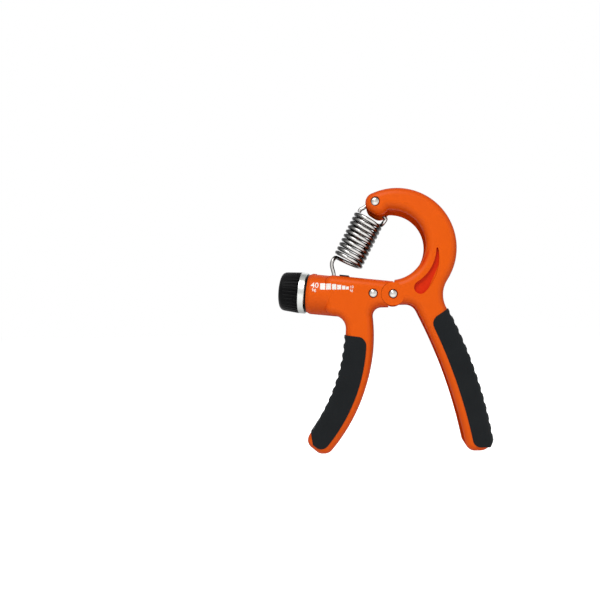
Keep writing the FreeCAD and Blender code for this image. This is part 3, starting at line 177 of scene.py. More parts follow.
class Groups:
    """Shader effects that several finishes share, each built once."""

    made: dict[str, bpy.types.NodeTree] = {}

    @classmethod
    def _start(cls, name: str, inputs: list[tuple[str, str, object]],
               outputs: list[tuple[str, str]]) -> StartedGroup:
        """Starts a node group with named sockets.

        Args:
            name: the group's name.
            inputs: socket name, socket type and default of each input.
            outputs: socket name and socket type of each output.

        Returns:
            The group, its ShaderTree, its input node and its output node.
        """
        tree = bpy.data.node_groups.new(name, "ShaderNodeTree")
        for label, kind, start in inputs:
            socket = tree.interface.new_socket(label, in_out="INPUT", socket_type=kind)
            socket.default_value = start
        for label, kind in outputs:
            tree.interface.new_socket(label, in_out="OUTPUT", socket_type=kind)
        cls.made[name] = tree
        return tree, ShaderTree(tree), tree.nodes.new("NodeGroupInput"), tree.nodes.new("NodeGroupOutput")

    @classmethod
    def _parts(cls, shader: ShaderTree) -> bpy.types.Node:
        """Adds the nodes that give a place on the object part by part.

        Args:
            shader: the tree that is filled.

        Returns:
            The node with the X, Y and Z outputs.
        """
        place = shader.add("TexCoord")
        parts = shader.add("SeparateXYZ")
        shader.join(place.outputs["Object"], parts.inputs[0])
        return parts

    @classmethod
    def grain(cls) -> bpy.types.NodeTree:
        """Fine relief and uneven sheen of a moulded or cast surface.

        Returns:
            The node group, with Height, Roughness and Shade outputs.
        """
        if "surface_grain" in cls.made:
            return cls.made["surface_grain"]
        tree, shader, given, result = cls._start(
            "surface_grain",
            [("Fine Scale", "NodeSocketFloat", 2500.0), ("Broad Scale", "NodeSocketFloat", 60.0),
             ("Rough Low", "NodeSocketFloat", 0.3), ("Rough High", "NodeSocketFloat", 0.45),
             ("Stretch", "NodeSocketVector", (1.0, 1.0, 1.0))],
            [("Height", "NodeSocketFloat"), ("Roughness", "NodeSocketFloat"), ("Shade", "NodeSocketFloat")])
        place = shader.add("TexCoord")
        spread = shader.add("VectorMath", operation="MULTIPLY")
        shader.join(place.outputs["Object"], spread.inputs[0])
        shader.join(given.outputs["Stretch"], spread.inputs[1])
        fine = shader.add("TexNoise", Detail=3.0, Roughness=0.6)
        shader.join(spread.outputs[0], fine.inputs["Vector"])
        shader.join(given.outputs["Fine Scale"], fine.inputs["Scale"])
        broad = shader.add("TexNoise", Detail=4.0, Roughness=0.55)
        shader.join(spread.outputs[0], broad.inputs["Vector"])
        shader.join(given.outputs["Broad Scale"], broad.inputs["Scale"])
        sheen = shader.add("MapRange")
        shader.join(broad.outputs["Fac"], sheen.inputs["Value"])
        sheen.inputs["From Min"].default_value = 0.35
        sheen.inputs["From Max"].default_value = 0.65
        shader.join(given.outputs["Rough Low"], sheen.inputs["To Min"])
        shader.join(given.outputs["Rough High"], sheen.inputs["To Max"])
        shader.join(fine.outputs["Fac"], result.inputs["Height"])
        shader.join(sheen.outputs["Result"], result.inputs["Roughness"])
        shader.join(broad.outputs["Fac"], result.inputs["Shade"])
        return tree

    @classmethod
    def pebbles(cls) -> bpy.types.NodeTree:
        """Small raised pebbles, as on rubber that is moulded for grip.

        Returns:
            The node group, with a Height output.
        """
        if "grip_pebbles" in cls.made:
            return cls.made["grip_pebbles"]
        tree, shader, given, result = cls._start(
            "grip_pebbles", [("Pebble Scale", "NodeSocketFloat", 1800.0)], [("Height", "NodeSocketFloat")])
        place = shader.add("TexCoord")
        cells = shader.add("TexVoronoi", feature="SMOOTH_F1")
        shader.join(place.outputs["Object"], cells.inputs["Vector"])
        shader.join(given.outputs["Pebble Scale"], cells.inputs["Scale"])
        shader.join(shader.maths("SUBTRACT", 1.0, cells.outputs["Distance"]), result.inputs["Height"])
        return tree

    @classmethod
    def seam(cls) -> bpy.types.NodeTree:
        """The parting line that a mould leaves round the middle of a piece.

        Returns:
            The node group, with a Line output that is 1 on the line.
        """
        if "parting_line" in cls.made:
            return cls.made["parting_line"]
        tree, shader, given, result = cls._start(
            "parting_line", [("Half Width", "NodeSocketFloat", 0.00012)], [("Line", "NodeSocketFloat")])
        parts = cls._parts(shader)
        off = shader.maths("ABSOLUTE", parts.outputs["Y"])
        share = shader.add("Math", operation="DIVIDE", use_clamp=True)
        shader.join(off, share.inputs[0])
        shader.join(given.outputs["Half Width"], share.inputs[1])
        shader.join(shader.maths("SUBTRACT", 1.0, share.outputs[0]), result.inputs["Line"])
        return tree

    @classmethod
    def hollow_shade(cls) -> bpy.types.NodeTree:
        """Where painted shade deepens the drop-shaped pocket on the hook's faces to a darker red.

        Returns:
            The node group, with an Inside output that is 1 on the pocket's floor, where the shade is painted.
        """
        if "hollow_shade_mask" in cls.made:
            return cls.made["hollow_shade_mask"]
        tree, shader, given, result = cls._start(
            "hollow_shade_mask",
            [("Face", "NodeSocketFloat", 0.0102), ("Floor", "NodeSocketFloat", 0.0092)],
            [("Inside", "NodeSocketFloat")])
        parts = cls._parts(shader)
        depth = shader.add("MapRange")
        shader.join(shader.maths("ABSOLUTE", parts.outputs["Y"]), depth.inputs["Value"])
        shader.join(given.outputs["Face"], depth.inputs["From Min"])
        shader.join(given.outputs["Floor"], depth.inputs["From Max"])
        flat = shader.add("CombineXYZ")
        shader.join(parts.outputs["X"], flat.inputs["X"])
        shader.join(parts.outputs["Z"], flat.inputs["Z"])
        away = shader.vectors("SUBTRACT", flat.outputs[0], HOLLOW_FOOT).outputs["Vector"]
        along = shader.vectors("DOT_PRODUCT", away, HOLLOW_RUN / HOLLOW_RUN.length_squared).outputs["Value"]
        along = shader.maths("MINIMUM", shader.maths("MAXIMUM", along, 0.0), 1.0)
        spot = shader.vectors("SCALE", HOLLOW_RUN)
        shader.join(along, spot.inputs["Scale"])
        off = shader.vectors("DISTANCE", away, spot.outputs["Vector"]).outputs["Value"]
        close = shader.add("MapRange")
        shader.join(off, close.inputs["Value"])
        close.inputs["From Min"].default_value = HOLLOW_BEYOND
        close.inputs["From Max"].default_value = HOLLOW_WITHIN
        shader.join(shader.maths("MULTIPLY", depth.outputs["Result"], close.outputs["Result"]),
                    result.inputs["Inside"])
        return tree


@dataclass(frozen=True)
class Finish:
    """One surface finish, made into a procedural material on demand."""

    SHADE_SHARE = 0.5
    GRAIN_UNDER_PEBBLES = 0.3
    SEAM_RISE = 3.0
    SHEEN_FALL = 1.5

    name: str
    colour: tuple[float, float, float, float]
    deeper: tuple[float, float, float, float]
    pattern: Pattern = Pattern.GRAINED
    rough_low: float = 0.3
    rough_high: float = 0.42
    relief: float = 0.00002
    fine_scale: float = 2500.0
    broad_scale: float = 60.0
    stretch: tuple[float, float, float] = (1.0, 1.0, 1.0)
    metallic: float = 0.0
    specular: float = 0.5
    parting_line: bool = False
    # colour of the painted shade, and on metals of painted dark reflection, where a surface turns away from the
    # camera
    painted_rim_shade: tuple[float, float, float, float] | None = None
    painted_rim_spread: float = 0.5
    # colour of the painted shade in the drop-shaped pocket on the hook's faces
    hollow_shade: tuple[float, float, float, float] | None = None

    def material(self) -> bpy.types.Material:
        """The finish as a material, built once.

        Returns:
            The material.
        """
        found = bpy.data.materials.get(self.name)
        if found:
            return found
        made = bpy.data.materials.new(self.name)
        made.use_nodes = True
        made.diffuse_color = self.colour
        made.node_tree.nodes.clear()
        shader = ShaderTree(made.node_tree)
        out = shader.add("OutputMaterial")
        surface = shader.add("BsdfPrincipled", Metallic=self.metallic)
        surface.inputs["Specular IOR Level"].default_value = self.specular
        shader.join(surface.outputs[0], out.inputs["Surface"])
        grain = shader.add("Group")
        grain.node_tree = Groups.grain()
        for label, value in (("Fine Scale", self.fine_scale), ("Broad Scale", self.broad_scale),
                             ("Rough Low", self.rough_low), ("Rough High", self.rough_high),
                             ("Stretch", self.stretch)):
            grain.inputs[label].default_value = value
        shade = shader.maths("MULTIPLY", grain.outputs["Shade"], self.SHADE_SHARE)
        colour = shader.mix(shade, self.colour, self.deeper)
        # painted shade: the drop-shaped pocket's floor turns a darker red
        if self.hollow_shade:
            inside = shader.add("Group")
            inside.node_tree = Groups.hollow_shade()
            colour = shader.mix(inside.outputs["Inside"], colour, self.hollow_shade)
        # painted shade: the colour darkens towards this rim colour where the surface turns away from the camera,
        # and the specular fades there too
        if self.painted_rim_shade:
            facing = shader.add("LayerWeight", Blend=self.painted_rim_spread)
            colour = shader.mix(facing.outputs["Facing"], colour, self.painted_rim_shade)
            if not self.metallic:
                fall = shader.maths("MULTIPLY", facing.outputs["Facing"], self.SHEEN_FALL)
                sheen = shader.maths("MAXIMUM", shader.maths("SUBTRACT", 1.0, fall), 0.0)
                shader.join(shader.maths("MULTIPLY", sheen, self.specular), surface.inputs["Specular IOR Level"])
        shader.join(colour, surface.inputs["Base Color"])
        shader.join(grain.outputs["Roughness"], surface.inputs["Roughness"])
        height = grain.outputs["Height"]
        if self.pattern is Pattern.PEBBLED:
            pebbles = shader.add("Group")
            pebbles.node_tree = Groups.pebbles()
            under = shader.maths("MULTIPLY", height, self.GRAIN_UNDER_PEBBLES)
            height = shader.maths("ADD", under, pebbles.outputs["Height"])
        if self.parting_line:
            seam = shader.add("Group")
            seam.node_tree = Groups.seam()
            height = shader.maths("ADD", height, shader.maths("MULTIPLY", seam.outputs["Line"], self.SEAM_RISE))
        bump = shader.add("Bump", Strength=1.0, Distance=self.relief)
        shader.join(height, bump.inputs["Height"])
        shader.join(bump.outputs[0], surface.inputs["Normal"])
        return made

    def dress(self, piece: bpy.types.Object) -> None:
        """Puts the finish on every slot of a piece.

        Args:
            piece: a mesh object, from the CAD or made here.
        """
        if not piece.data.materials:
            piece.data.materials.append(self.material())
        for slot in piece.material_slots:
            slot.material = self.material()


# The dark red rim colour is painted shade on the sides turned away from the camera.
ORANGE = Finish("orange_moulding", linear(236, 95, 4), linear(228, 83, 3), rough_low=0.34, rough_high=0.44,
                relief=0.01 * MM, fine_scale=1400.0, broad_scale=45.0, specular=0.14, parting_line=True,
                painted_rim_shade=linear(166, 36, 2), painted_rim_spread=0.36)
# The hook's moulding also paints shade into the drop-shaped pocket on its faces.
HOOK_ORANGE = replace(ORANGE, name="orange_moulding_hook", hollow_shade=linear(222, 46, 3))
GRIP_RUBBER = Finish("black_rubber", linear(21, 24, 26), linear(15, 18, 20), Pattern.PEBBLED, rough_low=0.55,
                     rough_high=0.68, relief=0.04 * MM, fine_scale=2600.0, broad_scale=80.0, specular=0.12)
KNOB_BLACK = Finish("black_moulding", linear(13, 13, 14), linear(9, 9, 10), rough_low=0.34, rough_high=0.46,
                    relief=0.012 * MM, fine_scale=1800.0, broad_scale=70.0, specular=0.05)
SLIDER_BLACK = Finish("slider_moulding", linear(26, 24, 24), linear(20, 18, 18), rough_low=0.35, rough_high=0.5,
                      relief=0.012 * MM, fine_scale=1800.0, broad_scale=70.0, specular=0.2)
# The near-black rim colour is painted dark reflection and shade round the rivet domes.
RIVET_CHROME = Finish("rivet_chrome_finish", linear(216, 212, 206), linear(186, 182, 176), rough_low=0.1,
                      rough_high=0.18, relief=0.002 * MM, fine_scale=3000.0, broad_scale=200.0, metallic=1.0,
                      painted_rim_shade=linear(30, 20, 16), painted_rim_spread=0.86)
# The near-black rim colour paints dark reflections and shade on the coils, leaving only the wire's middle bright.
SPRING_STEEL = Finish("plated_wire", linear(226, 224, 220), linear(186, 184, 182), rough_low=0.14,
                      rough_high=0.26, relief=0.004 * MM, fine_scale=3500.0, broad_scale=150.0, metallic=1.0,
                      painted_rim_shade=linear(8, 7, 7), painted_rim_spread=0.9)
# The dark rim colour paints shade towards the ring's edges, leaving a lit middle.
RING_METAL = Finish("satin_ring", linear(212, 214, 210), linear(188, 192, 190), rough_low=0.22, rough_high=0.34,
                    relief=0.006 * MM, fine_scale=1500.0, broad_scale=90.0, stretch=(0.2, 3.0, 3.0),
                    metallic=1.0, painted_rim_shade=linear(60, 66, 66), painted_rim_spread=0.6)
# The dark rim colour paints shade where the steel turns away from the camera.
SCREW_STEEL = Finish("zinc_steel", linear(178, 180, 184), linear(150, 152, 158), rough_low=0.22, rough_high=0.36,
                     relief=0.005 * MM, fine_scale=3000.0, broad_scale=120.0, metallic=1.0,
                     painted_rim_shade=linear(60, 62, 66))
# The dark brown rim colour paints shade where the brass turns away from the camera.
NUT_BRASS = replace(SCREW_STEEL, name="turned_brass", colour=linear(205, 170, 90), deeper=linear(178, 142, 66),
                    rough_low=0.2, rough_high=0.32, painted_rim_shade=linear(92, 66, 24))
SCALE_WHITE = Finish("scale_print", linear(250, 246, 240), linear(238, 232, 224), rough_low=0.4, rough_high=0.5,
                     relief=0.004 * MM, fine_scale=3000.0, broad_scale=120.0, specular=0.2)


def mesh_piece(name: str, shape: bmesh.types.BMesh, finish: Finish, body: str) -> bpy.types.Object:
    """Turns a finished mesh into a piece that rides on a body.

    Args:
        name: the piece's name.
        shape: its mesh, in the row frame, which is freed.
        finish: the finish it wears.
        body: the CAD body it rides on.

    Returns:
        The new object.
    """
    data = bpy.data.meshes.new(name)
    shape.to_mesh(data)
    shape.free()
    data.shade_smooth()
    piece = bpy.data.objects.new(name, data)
    bpy.context.scene.collection.objects.link(piece)
    finish.dress(piece)
    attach(piece, body)
    return piece


def barrel_place(out: float, up: float, side: float = 0.0) -> Vector:
    """A place given along and across the barrel.

    Args:
        out: metres from the hinge's foot on the axis towards the knob.
        up: metres above the axis.
        side: metres towards the back face.

    Returns:
        The place in the row frame.
    """
    cos, sin = math.cos(BARREL_TILT), math.sin(BARREL_TILT)
    return HINGE + Vector((up * sin - out * cos, side, out * sin + up * cos - BARREL_DROP))


@dataclass
class TensionSpring:
    """The spring between the hook's anchor rivet and the slider's pin."""

    anchor: Vector
    pin: Vector
    wire: float = 1.0 * MM
    coil: float = 7.1 * MM
    bend: float = 2.6 * MM
    pitch: float = 2.42 * MM
    first_turn: float = 7.4 * MM
    whole_turns: int = 10
    free_end: float = 6.6 * MM
    free_end_out: float = 0.87
    free_end_length: float = 1.2
    loop: float = 2.55 * MM
    loop_lead: float = 6.0 * MM
    loop_run: float = 6.6 * MM
    neck_out: float = 0.7 * MM
    neck_rise: float = 3.3 * MM
    leg_out: float = 0.1 * MM
    leg_drop: float = 3.0 * MM
    hook: float = 2.15 * MM
    hook_lead: float = 3.0 * MM
    hook_end: float = 2.2
    unstretched_foot: float = 5.0 * MM

    LOOP_ANGLES = (150, 97, 44.5)
    HOOK_ANGLES = (180, 270, 360)
    STOPS_PER_TURN = 8
    HANDLE_SHARE = 0.35

    def __post_init__(self) -> None:
        """Works out the spring's lean and its own axes."""
        span = self.anchor - self.pin
        self.lean = math.atan2(span.x, span.z)
        self.across = Vector((math.cos(self.lean), 0, -math.sin(self.lean)))
        self.along = Vector((math.sin(self.lean), 0, math.cos(self.lean)))
        self.length = span.length

    def heading(self, degrees: float, turned_by: float = 0.0) -> Vector:
        """A direction in the spring's mid-plane.

        Args:
            degrees: its angle.
            turned_by: a turn added to the angle, in radians.

        Returns:
            The direction, of length 1.
        """
        angle = math.radians(degrees) + turned_by
        return Vector((math.cos(angle), 0, math.sin(angle)))

    def ring(self, centre: Vector, radius: float, degrees: float, side: int,
             turned_by: float = 0.0) -> tuple[Vector, Vector]:
        """A place on a circle in the mid-plane, and the way along it.

        Args:
            centre: the circle's centre in the spring's own axes.
            radius: its radius.
            degrees: angle of the place.
            side: 1 for counter-clockwise and -1 for clockwise.
            turned_by: a turn of both angles, in radians.

        Returns:
            The place and the direction.
        """
        return centre + self.heading(degrees, turned_by) * radius, self.heading(degrees + 90 * side, turned_by)

    def turn(self, turns: float) -> tuple[Vector, Vector]:
        """A place on the coil, and the way along it.

        Args:
            turns: turns from the start of the coil.

        Returns:
            The place and the direction.
        """
        angle = math.asin(self.bend / self.coil) + 2 * math.pi * turns
        place = Vector((self.coil * math.cos(angle), self.coil * math.sin(angle),
                        -self.first_turn - self.pitch * turns))
        way = Vector((-math.sin(angle), math.cos(angle), -self.pitch / (2 * math.pi * self.coil)))
        return place, way.normalized()

    def stops(self) -> list[tuple[Vector, Vector]]:
        """The course of the wire.

        Returns:
            Places and directions along it, in the spring's own axes.
        """
        up = self.heading(90)
        start = Vector((-self.free_end_out * self.coil, 0, -self.free_end))
        found = [(start, up), (start + up * self.free_end_length * self.wire, up)]
        place, way = self.ring(Vector(), self.loop, self.LOOP_ANGLES[0], -1)
        found.append((place - way * self.loop_lead, way))
        found += [self.ring(Vector(), self.loop, degrees, -1) for degrees in self.LOOP_ANGLES]
        found.append((found[-1][0] + found[-1][1] * self.loop_run, found[-1][1]))
        found.append((Vector((self.coil + self.neck_out, 0, self.neck_rise - self.first_turn)), self.heading(-95)))
        turns = self.whole_turns + 0.5 - math.asin(self.bend / self.coil) / math.pi
        steps = self.STOPS_PER_TURN * (self.whole_turns + 1)
        found += [self.turn(turns * k / steps) for k in range(steps + 1)]
        leg = Vector((-self.coil - self.leg_out, 0, found[-1][0].z - self.leg_drop))
        found.append((leg, self.heading(-88)))
        low = Vector((0, 0, -self.length))
        place, way = self.ring(low, self.hook, self.HOOK_ANGLES[0], 1, self.lean)
        found.append((place - way * self.hook_lead, way))
        found += [self.ring(low, self.hook, degrees, 1, self.lean) for degrees in self.HOOK_ANGLES]
        found.append((found[-1][0] + found[-1][1] * self.hook_end * self.wire, found[-1][1]))
        return found

    def build(self) -> bpy.types.Object:
        """Sweeps the wire, and lets its lower end follow the slider's pin.

        Returns:
            The spring.
        """
        line = bpy.data.curves.new("spring_line", "CURVE")
        line.dimensions = "3D"
        line.resolution_u = 7
        line.bevel_depth = self.wire
        line.bevel_resolution = 5
        line.use_fill_caps = True
        run = line.splines.new("BEZIER")
        stops = self.stops()
        run.bezier_points.add(len(stops) - 1)
        for k, (place, way) in enumerate(stops):
            point = run.bezier_points[k]
            point.handle_left_type = point.handle_right_type = "FREE"
            back = (place - stops[k - 1][0]).length if k else 0.0
            ahead = (stops[k + 1][0] - place).length if k + 1 < len(stops) else 0.0
            point.co = place
            point.handle_left = place - way * back * self.HANDLE_SHARE
            point.handle_right = place + way * ahead * self.HANDLE_SHARE
        holder = bpy.data.objects.new("spring_line", line)
        bpy.context.scene.collection.objects.link(holder)
        data = bpy.data.meshes.new_from_object(holder.evaluated_get(bpy.context.evaluated_depsgraph_get()))
        bpy.data.objects.remove(holder)
        own = Matrix((self.across, Vector((0, 1, 0)), self.along)).transposed().to_4x4()
        data.transform(Matrix.Translation(self.anchor) @ own)
        shape = bmesh.new()
        shape.from_mesh(data)
        piece = mesh_piece("spring_wire", shape, SPRING_STEEL, "spring")
        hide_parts("tension_spring")
        self.follow_pin(piece)
        return piece

    def follow_pin(self, piece: bpy.types.Object) -> None:
        """Stretches the coil between its ends when the handles or the slider move.

        Args:
            piece: the spring's mesh.
        """
        group = piece.vertex_groups.new(name="towards_pin")
        top = self.first_turn
        low = self.length - self.unstretched_foot
        for vertex in piece.data.vertices:
            down = (self.anchor - vertex.co).dot(self.along)
            group.add([vertex.index], min(1.0, max(0.0, (down - top) / (low - top))), "REPLACE")
        at_pin = bpy.data.objects.new("pin_place", None)
        bpy.context.scene.collection.objects.link(at_pin)
        at_pin.location = self.pin
        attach(at_pin, "slider")
        puller = bpy.data.objects.new("spring_foot", None)
        bpy.context.scene.collection.objects.link(puller)
        puller.location = self.pin
        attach(puller, "spring")
        stay = puller.constraints.new("COPY_LOCATION")
        stay.target = at_pin
        bpy.context.view_layer.update()
        hook = piece.modifiers.new("follow_pin", "HOOK")
        hook.object = puller
        hook.vertex_group = group.name
        hook.matrix_inverse = puller.matrix_world.inverted() @ piece.matrix_world


@dataclass
class LeadScrew:
    """The threaded screw inside the barrel."""

    radius: float = 3.0 * MM
    root: float = 2.35 * MM
    lead: float = 2.0 * MM
    inner_end: float = 7.0 * MM
    thread_from: float = 13.0 * MM
    thread_to: float = 50.0 * MM
    outer_end: float = 55.2 * MM
    tail: float = 2.0 * MM
    tail_from: float = 51.6 * MM
    groove_at: float = 10.24 * MM
    groove_half: float = 1.44 * MM
    groove_radius: float = 1.27 * MM
    inner_edge: float = 0.4 * MM
    tail_edge: float = 0.3 * MM
    flank: float = 1.15
    sides: int = 32
    rings_per_turn: int = 12

    def radius_at(self, out: float, angle: float) -> float:
        """Radius of the thread at one place.

        Args:
            out: metres along the barrel from the hinge's foot.
            angle: angle round the screw, in radians.

        Returns:
            The radius in metres.
        """
        if not self.thread_from < out < self.thread_to:
            return self.radius
        phase = (out / self.lead * 2 + angle / math.pi) % 1.0
        depth = abs(phase - 0.5) * 2
        fade = min(1.0, (out - self.thread_from) / MM, (self.thread_to - out) / MM)
        return self.radius - (self.radius - self.root) * fade * min(1.0, self.flank * depth)

    def rings(self) -> list[tuple[float, float | None]]:
        """The screw's outline.

        Returns:
            Places along the screw, each with a fixed radius, or None on the thread.
        """
        low, high = self.groove_at - self.groove_half, self.groove_at + self.groove_half
        found = [(self.inner_end, 0.0), (self.inner_end, self.radius - self.inner_edge),
                 (self.inner_end + self.inner_edge, self.radius), (low, self.radius), (low, self.groove_radius),
                 (high, self.groove_radius), (high, self.radius)]
        steps = int((self.thread_to - self.thread_from) / (self.lead / self.rings_per_turn))
        found += [(self.thread_from + (self.thread_to - self.thread_from) * k / steps, None)
                  for k in range(steps + 1)]
        found += [(self.tail_from, self.radius), (self.tail_from, self.tail),
                  (self.outer_end - self.tail_edge, self.tail), (self.outer_end, self.tail - self.tail_edge),
                  (self.outer_end, 0.0)]
        return found

    def build(self) -> bpy.types.Object:
        """Makes the screw with its thread.

        Returns:
            The screw.
        """
        shape = bmesh.new()
        previous = None
        for out, fixed in self.rings():
            ring = []
            for k in range(self.sides):
                angle = 2 * math.pi * k / self.sides
                far = self.radius_at(out, angle) if fixed is None else max(fixed, 1e-5)
                ring.append(shape.verts.new(barrel_place(out, far * math.cos(angle), far * math.sin(angle))))
            if previous:
                for k in range(self.sides):
                    n = (k + 1) % self.sides
                    shape.faces.new((previous[k], previous[n], ring[n], ring[k]))
            previous = ring
        bmesh.ops.remove_doubles(shape, verts=shape.verts, dist=2e-5)
        bmesh.ops.recalc_face_normals(shape, faces=shape.faces)
        piece = mesh_piece("threaded_screw", shape, SCREW_STEEL, "knob_and_screw")
        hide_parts("lead_screw")
        return piece


@dataclass
class LoadScale:
    """The white load scale printed on the barrel's front: a high number, shrinking bars, a low number."""

    carrier: bpy.types.Object
    rise: float = math.radians(1.2)
    lift: float = 0.03 * MM
    cut: float = 0.4
    ray_from: float = 30 * MM
    ray_reach: float = 60 * MM
    foot: float = 2.1

    # name, text, left end, foot and type size of each word, in millimetres from the hinge
    words = (("scale_high", "40", -40.7, 2.95, 3.9), ("scale_high_unit", "kg", -40.1, 1.35, 2.2),
             ("scale_low", "10", -21.35, 2.7, 1.9), ("scale_low_unit", "kg", -21.3, 1.25, 1.6))
    # left end, width and height of each bar
    bars = ((-36.1, 2.5, 3.2), (-33.1, 2.45, 2.95), (-30.15, 2.15, 2.65), (-27.55, 1.95, 2.3),
            (-25.15, 1.6, 1.9), (-23.3, 1.45, 1.45))
    cut_rows = range(2, 18)
    cut_columns = range(46, 104)

    def lay(self, shape: bmesh.types.BMesh) -> bmesh.types.BMesh:
        """Cuts a flat print fine and lays it on the carrier's front.

        Args:
            shape: a flat mesh in millimetres from the hinge.

        Returns:
            The same mesh in the row frame, lying on the surface.
        """
        cuts = [((0, 0, k * self.cut), (0, 0, 1)) for k in self.cut_rows]
        cuts += [((-k * self.cut, 0, 0), (1, 0, 0)) for k in self.cut_columns]
        for place, way in cuts:
            bmesh.ops.bisect_plane(shape, geom=list(shape.verts) + list(shape.edges) + list(shape.faces),
                                   plane_co=place, plane_no=way)
        tree = BVHTree.FromObject(self.carrier, bpy.context.evaluated_depsgraph_get())
        for vertex in shape.verts:
            x, z = vertex.co.x * MM, vertex.co.z * MM
            start = HINGE + Vector((x, -self.ray_from, z - x * math.tan(self.rise)))
            hit = tree.ray_cast(start, Vector((0, 1, 0)), self.ray_reach)[0]
            if hit is None:
                raise ValueError("the load scale runs off the barrel")
            vertex.co = hit - Vector((0, self.lift, 0))
        return shape

    def word(self, text: str, x: float, z: float, size: float) -> bmesh.types.BMesh:
        """Flat letters or digits.

        Args:
            text: what they say.
            x: their left end in millimetres.
            z: their foot in millimetres.
            size: their height as type in millimetres.

        Returns:
            The mesh in millimetres from the hinge.
        """
        line = bpy.data.curves.new("print_line", "FONT")
        line.body = text
        line.size = size
        line.resolution_u = 3
        line.offset = 0.02
        holder = bpy.data.objects.new("print_line", line)
        bpy.context.scene.collection.objects.link(holder)
        data = bpy.data.meshes.new_from_object(holder.evaluated_get(bpy.context.evaluated_depsgraph_get()))
        bpy.data.objects.remove(holder)
        shape = bmesh.new()
        shape.from_mesh(data)
        for vertex in shape.verts:
            vertex.co = Vector((vertex.co.x + x, 0, vertex.co.y + z))
        return shape

    def bar(self, x: float, wide: float, high: float) -> bmesh.types.BMesh:
        """One bar of the scale.

        Args:
            x: its left end in millimetres.
            wide: its width in millimetres.
            high: its height in millimetres.

        Returns:
            The mesh in millimetres from the hinge.
        """
        shape = bmesh.new()
        corners = [(x, self.foot), (x + wide, self.foot), (x + wide, self.foot + high), (x, self.foot + high)]
        shape.faces.new([shape.verts.new((across, 0, up)) for across, up in corners])
        return shape

    def build(self) -> list[bpy.types.Object]:
        """Lays all the print.

        Returns:
            The printed pieces.
        """
        prints = [(name, self.word(*rest)) for name, *rest in self.words]
        prints += [("scale_bar_%d" % k, self.bar(*sizes)) for k, sizes in enumerate(self.bars, start=1)]
        return [mesh_piece(name, self.lay(shape), SCALE_WHITE, "barrel_handle")
                for name, shape in prints]


@dataclass
class Handles:
    """The two handles and everything from the CAD that keeps its own shape."""

    nodes: dict[str, bpy.types.Object]

    finishes = {
        "hook_handle_body": HOOK_ORANGE, "barrel_handle_body": ORANGE,
        "hook_handle_grip": GRIP_RUBBER, "barrel_handle_grip": GRIP_RUBBER,
        "hinge_rivet_post": RIVET_CHROME, "hinge_rivet_cap": RIVET_CHROME,
        "anchor_rivet_post": RIVET_CHROME, "anchor_rivet_cap": RIVET_CHROME,
        "keeper_rivet_post": RIVET_CHROME, "keeper_rivet_cap": RIVET_CHROME,
        "slider": SLIDER_BLACK, "slider_nut": NUT_BRASS, "spring_hook_pin": SCREW_STEEL,
        "barrel_end_bush": KNOB_BLACK, "thrust_washer": SCREW_STEEL, "knob_ring": RING_METAL,
        "knob": KNOB_BLACK, "knob_nut": SCREW_STEEL, "knob_cap": KNOB_BLACK,
    }

    def build(self) -> None:
        """Dresses the CAD nodes."""
        for name, finish in self.finishes.items():
            finish.dress(self.nodes[name])
            log.info("dressed %s as %s", name, finish.name)


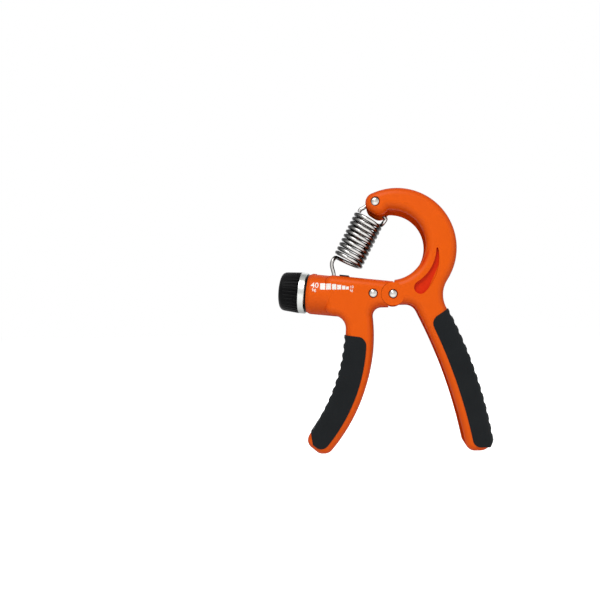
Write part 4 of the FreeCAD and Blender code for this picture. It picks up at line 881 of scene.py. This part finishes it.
@dataclass
class Studio:
    """Pale floor, soft lamps, bright surroundings and the photograph's camera."""

    lens: float = 29.1
    distance: float = 250 * MM
    aim: tuple[float, float] = (-3.81 * MM, -13.38 * MM)
    roll: float = math.radians(1.17)
    axis_px: tuple[float, float] = (386.0, 321.0)
    sensor: float = 36.0
    soft_light: float = 0.3
    floor_drop: float = 12.2 * MM
    floor_half: float = 3.0
    floor_tone: float = 0.9
    floor_glow: float = 0.74

    # name, place, side in metres and watts of each lamp, and where all of them point
    lamps = (("key", (-0.2, -0.55, 0.7), 0.45, 4.7), ("fill", (0.65, -0.4, 0.3), 0.6, 1.0),
             ("back", (0.1, 0.6, 0.5), 0.5, 1.6))
    lit_place = (0.0, 0.0, 0.07)

    def camera(self) -> None:
        """Sets the camera where the photograph was taken from."""
        data = bpy.data.cameras.new("camera")
        data.lens = self.lens
        data.sensor_width = self.sensor
        data.shift_x = (PHOTO_SIDE / 2 - self.axis_px[0]) / PHOTO_SIDE
        data.shift_y = (self.axis_px[1] - PHOTO_SIDE / 2) / PHOTO_SIDE
        data.clip_start = 0.01
        camera = bpy.data.objects.new("camera", data)
        camera.location = HINGE + Vector((self.aim[0], -self.distance, self.aim[1]))
        camera.rotation_euler = (math.radians(90), self.roll, 0)
        bpy.context.scene.collection.objects.link(camera)
        bpy.context.scene.camera = camera

    def seen_white(self, tree: bpy.types.NodeTree, plain: bpy.types.NodeSocket, out: bpy.types.Node,
                   white: bpy.types.NodeSocket) -> None:
        """Shows white to the camera and in reflections, and the plain shader to everything else.

        Args:
            tree: the node tree.
            plain: the shader for all other rays.
            out: the tree's output node.
            white: the white shader.
        """
        shader = ShaderTree(tree)
        path = shader.add("LightPath")
        seen = shader.maths("MAXIMUM", path.outputs["Is Camera Ray"], path.outputs["Is Glossy Ray"])
        seen = shader.maths("MAXIMUM", seen, path.outputs["Is Transmission Ray"])
        mix = shader.add("MixShader")
        shader.join(seen, mix.inputs[0])
        shader.join(plain, mix.inputs[1])
        shader.join(white, mix.inputs[2])
        shader.join(mix.outputs[0], out.inputs["Surface"])

    def world(self) -> None:
        """Makes soft, even surroundings."""
        world = bpy.data.worlds.new("surroundings")
        bpy.context.scene.world = world
        world.use_nodes = True
        tree = world.node_tree
        tree.nodes.clear()
        shader = ShaderTree(tree)
        out = shader.add("OutputWorld")
        soft = shader.add("Background", Color=(1, 1, 1, 1), Strength=self.soft_light)
        white = shader.add("Background", Color=(1, 1, 1, 1), Strength=1.0)
        self.seen_white(tree, soft.outputs[0], out, white.outputs[0])

    def floor(self) -> None:
        """Lays a wide pale floor just under the reach of the swung handle, where it keeps a soft shadow."""
        shape = bmesh.new()
        bmesh.ops.create_grid(shape, x_segments=4, y_segments=4, size=self.floor_half)
        data = bpy.data.meshes.new("floor")
        shape.to_mesh(data)
        shape.free()
        floor = bpy.data.objects.new("floor", data)
        floor.location.z = -self.floor_drop
        bpy.context.scene.collection.objects.link(floor)
        material = bpy.data.materials.new("pale_floor")
        material.use_nodes = True
        tree = material.node_tree
        tree.nodes.clear()
        shader = ShaderTree(tree)
        out = shader.add("OutputMaterial")
        matt = shader.add("BsdfDiffuse", Color=(self.floor_tone, self.floor_tone, self.floor_tone, 1))
        glow = shader.add("Emission", Strength=self.floor_glow)
        mixed = shader.add("AddShader")
        shader.join(matt.outputs[0], mixed.inputs[0])
        shader.join(glow.outputs[0], mixed.inputs[1])
        self.seen_white(tree, matt.outputs[0], out, mixed.outputs[0])
        data.materials.append(material)

    def lamp(self, name: str, place: tuple[float, float, float], size: float, watts: float) -> None:
        """Hangs one soft square lamp that points at the part.

        Args:
            name: the lamp's name.
            place: where it hangs.
            size: its side in metres.
            watts: its power.
        """
        data = bpy.data.lights.new(name, "AREA")
        data.energy = watts
        data.size = size
        lamp = bpy.data.objects.new(name, data)
        lamp.location = place
        lamp.rotation_euler = (Vector(self.lit_place) - Vector(place)).to_track_quat("-Z", "Y").to_euler()
        bpy.context.scene.collection.objects.link(lamp)

    def build(self) -> None:
        """Sets the whole studio."""
        self.camera()
        self.world()
        self.floor()
        for lamp in self.lamps:
            self.lamp(*lamp)


def main(frame: dict) -> None:
    """Builds every piece in order and reports each.
    """
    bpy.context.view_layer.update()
    Studio().build()
    nodes = frame["nodes"]
    Handles(nodes).build()
    anchor_out = HOOK_CENTRE_OUT - math.sqrt(HOOK_MIDDLE_RADIUS ** 2 - ANCHOR_OVER_CENTRE ** 2)
    anchor = HINGE + Vector((anchor_out, 0, ANCHOR_RISE))
    spring = TensionSpring(anchor, barrel_place(PIN_OUT, PIN_UP)).build()
    log.info("made %s", spring.name)
    screw = LeadScrew().build()
    log.info("made %s", screw.name)
    for piece in LoadScale(nodes["barrel_handle_body"]).build():
        log.info("made %s", piece.name)
    bpy.context.scene.view_settings.view_transform = "Standard"


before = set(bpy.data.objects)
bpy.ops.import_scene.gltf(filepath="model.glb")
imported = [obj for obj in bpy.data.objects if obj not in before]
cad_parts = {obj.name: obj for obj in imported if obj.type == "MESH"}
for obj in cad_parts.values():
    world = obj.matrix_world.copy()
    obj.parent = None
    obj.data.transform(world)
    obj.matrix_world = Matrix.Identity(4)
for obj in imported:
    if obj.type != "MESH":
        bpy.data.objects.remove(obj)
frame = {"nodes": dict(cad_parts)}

if __name__ == "__main__":
    logging.basicConfig(level=logging.INFO)
    main(frame)
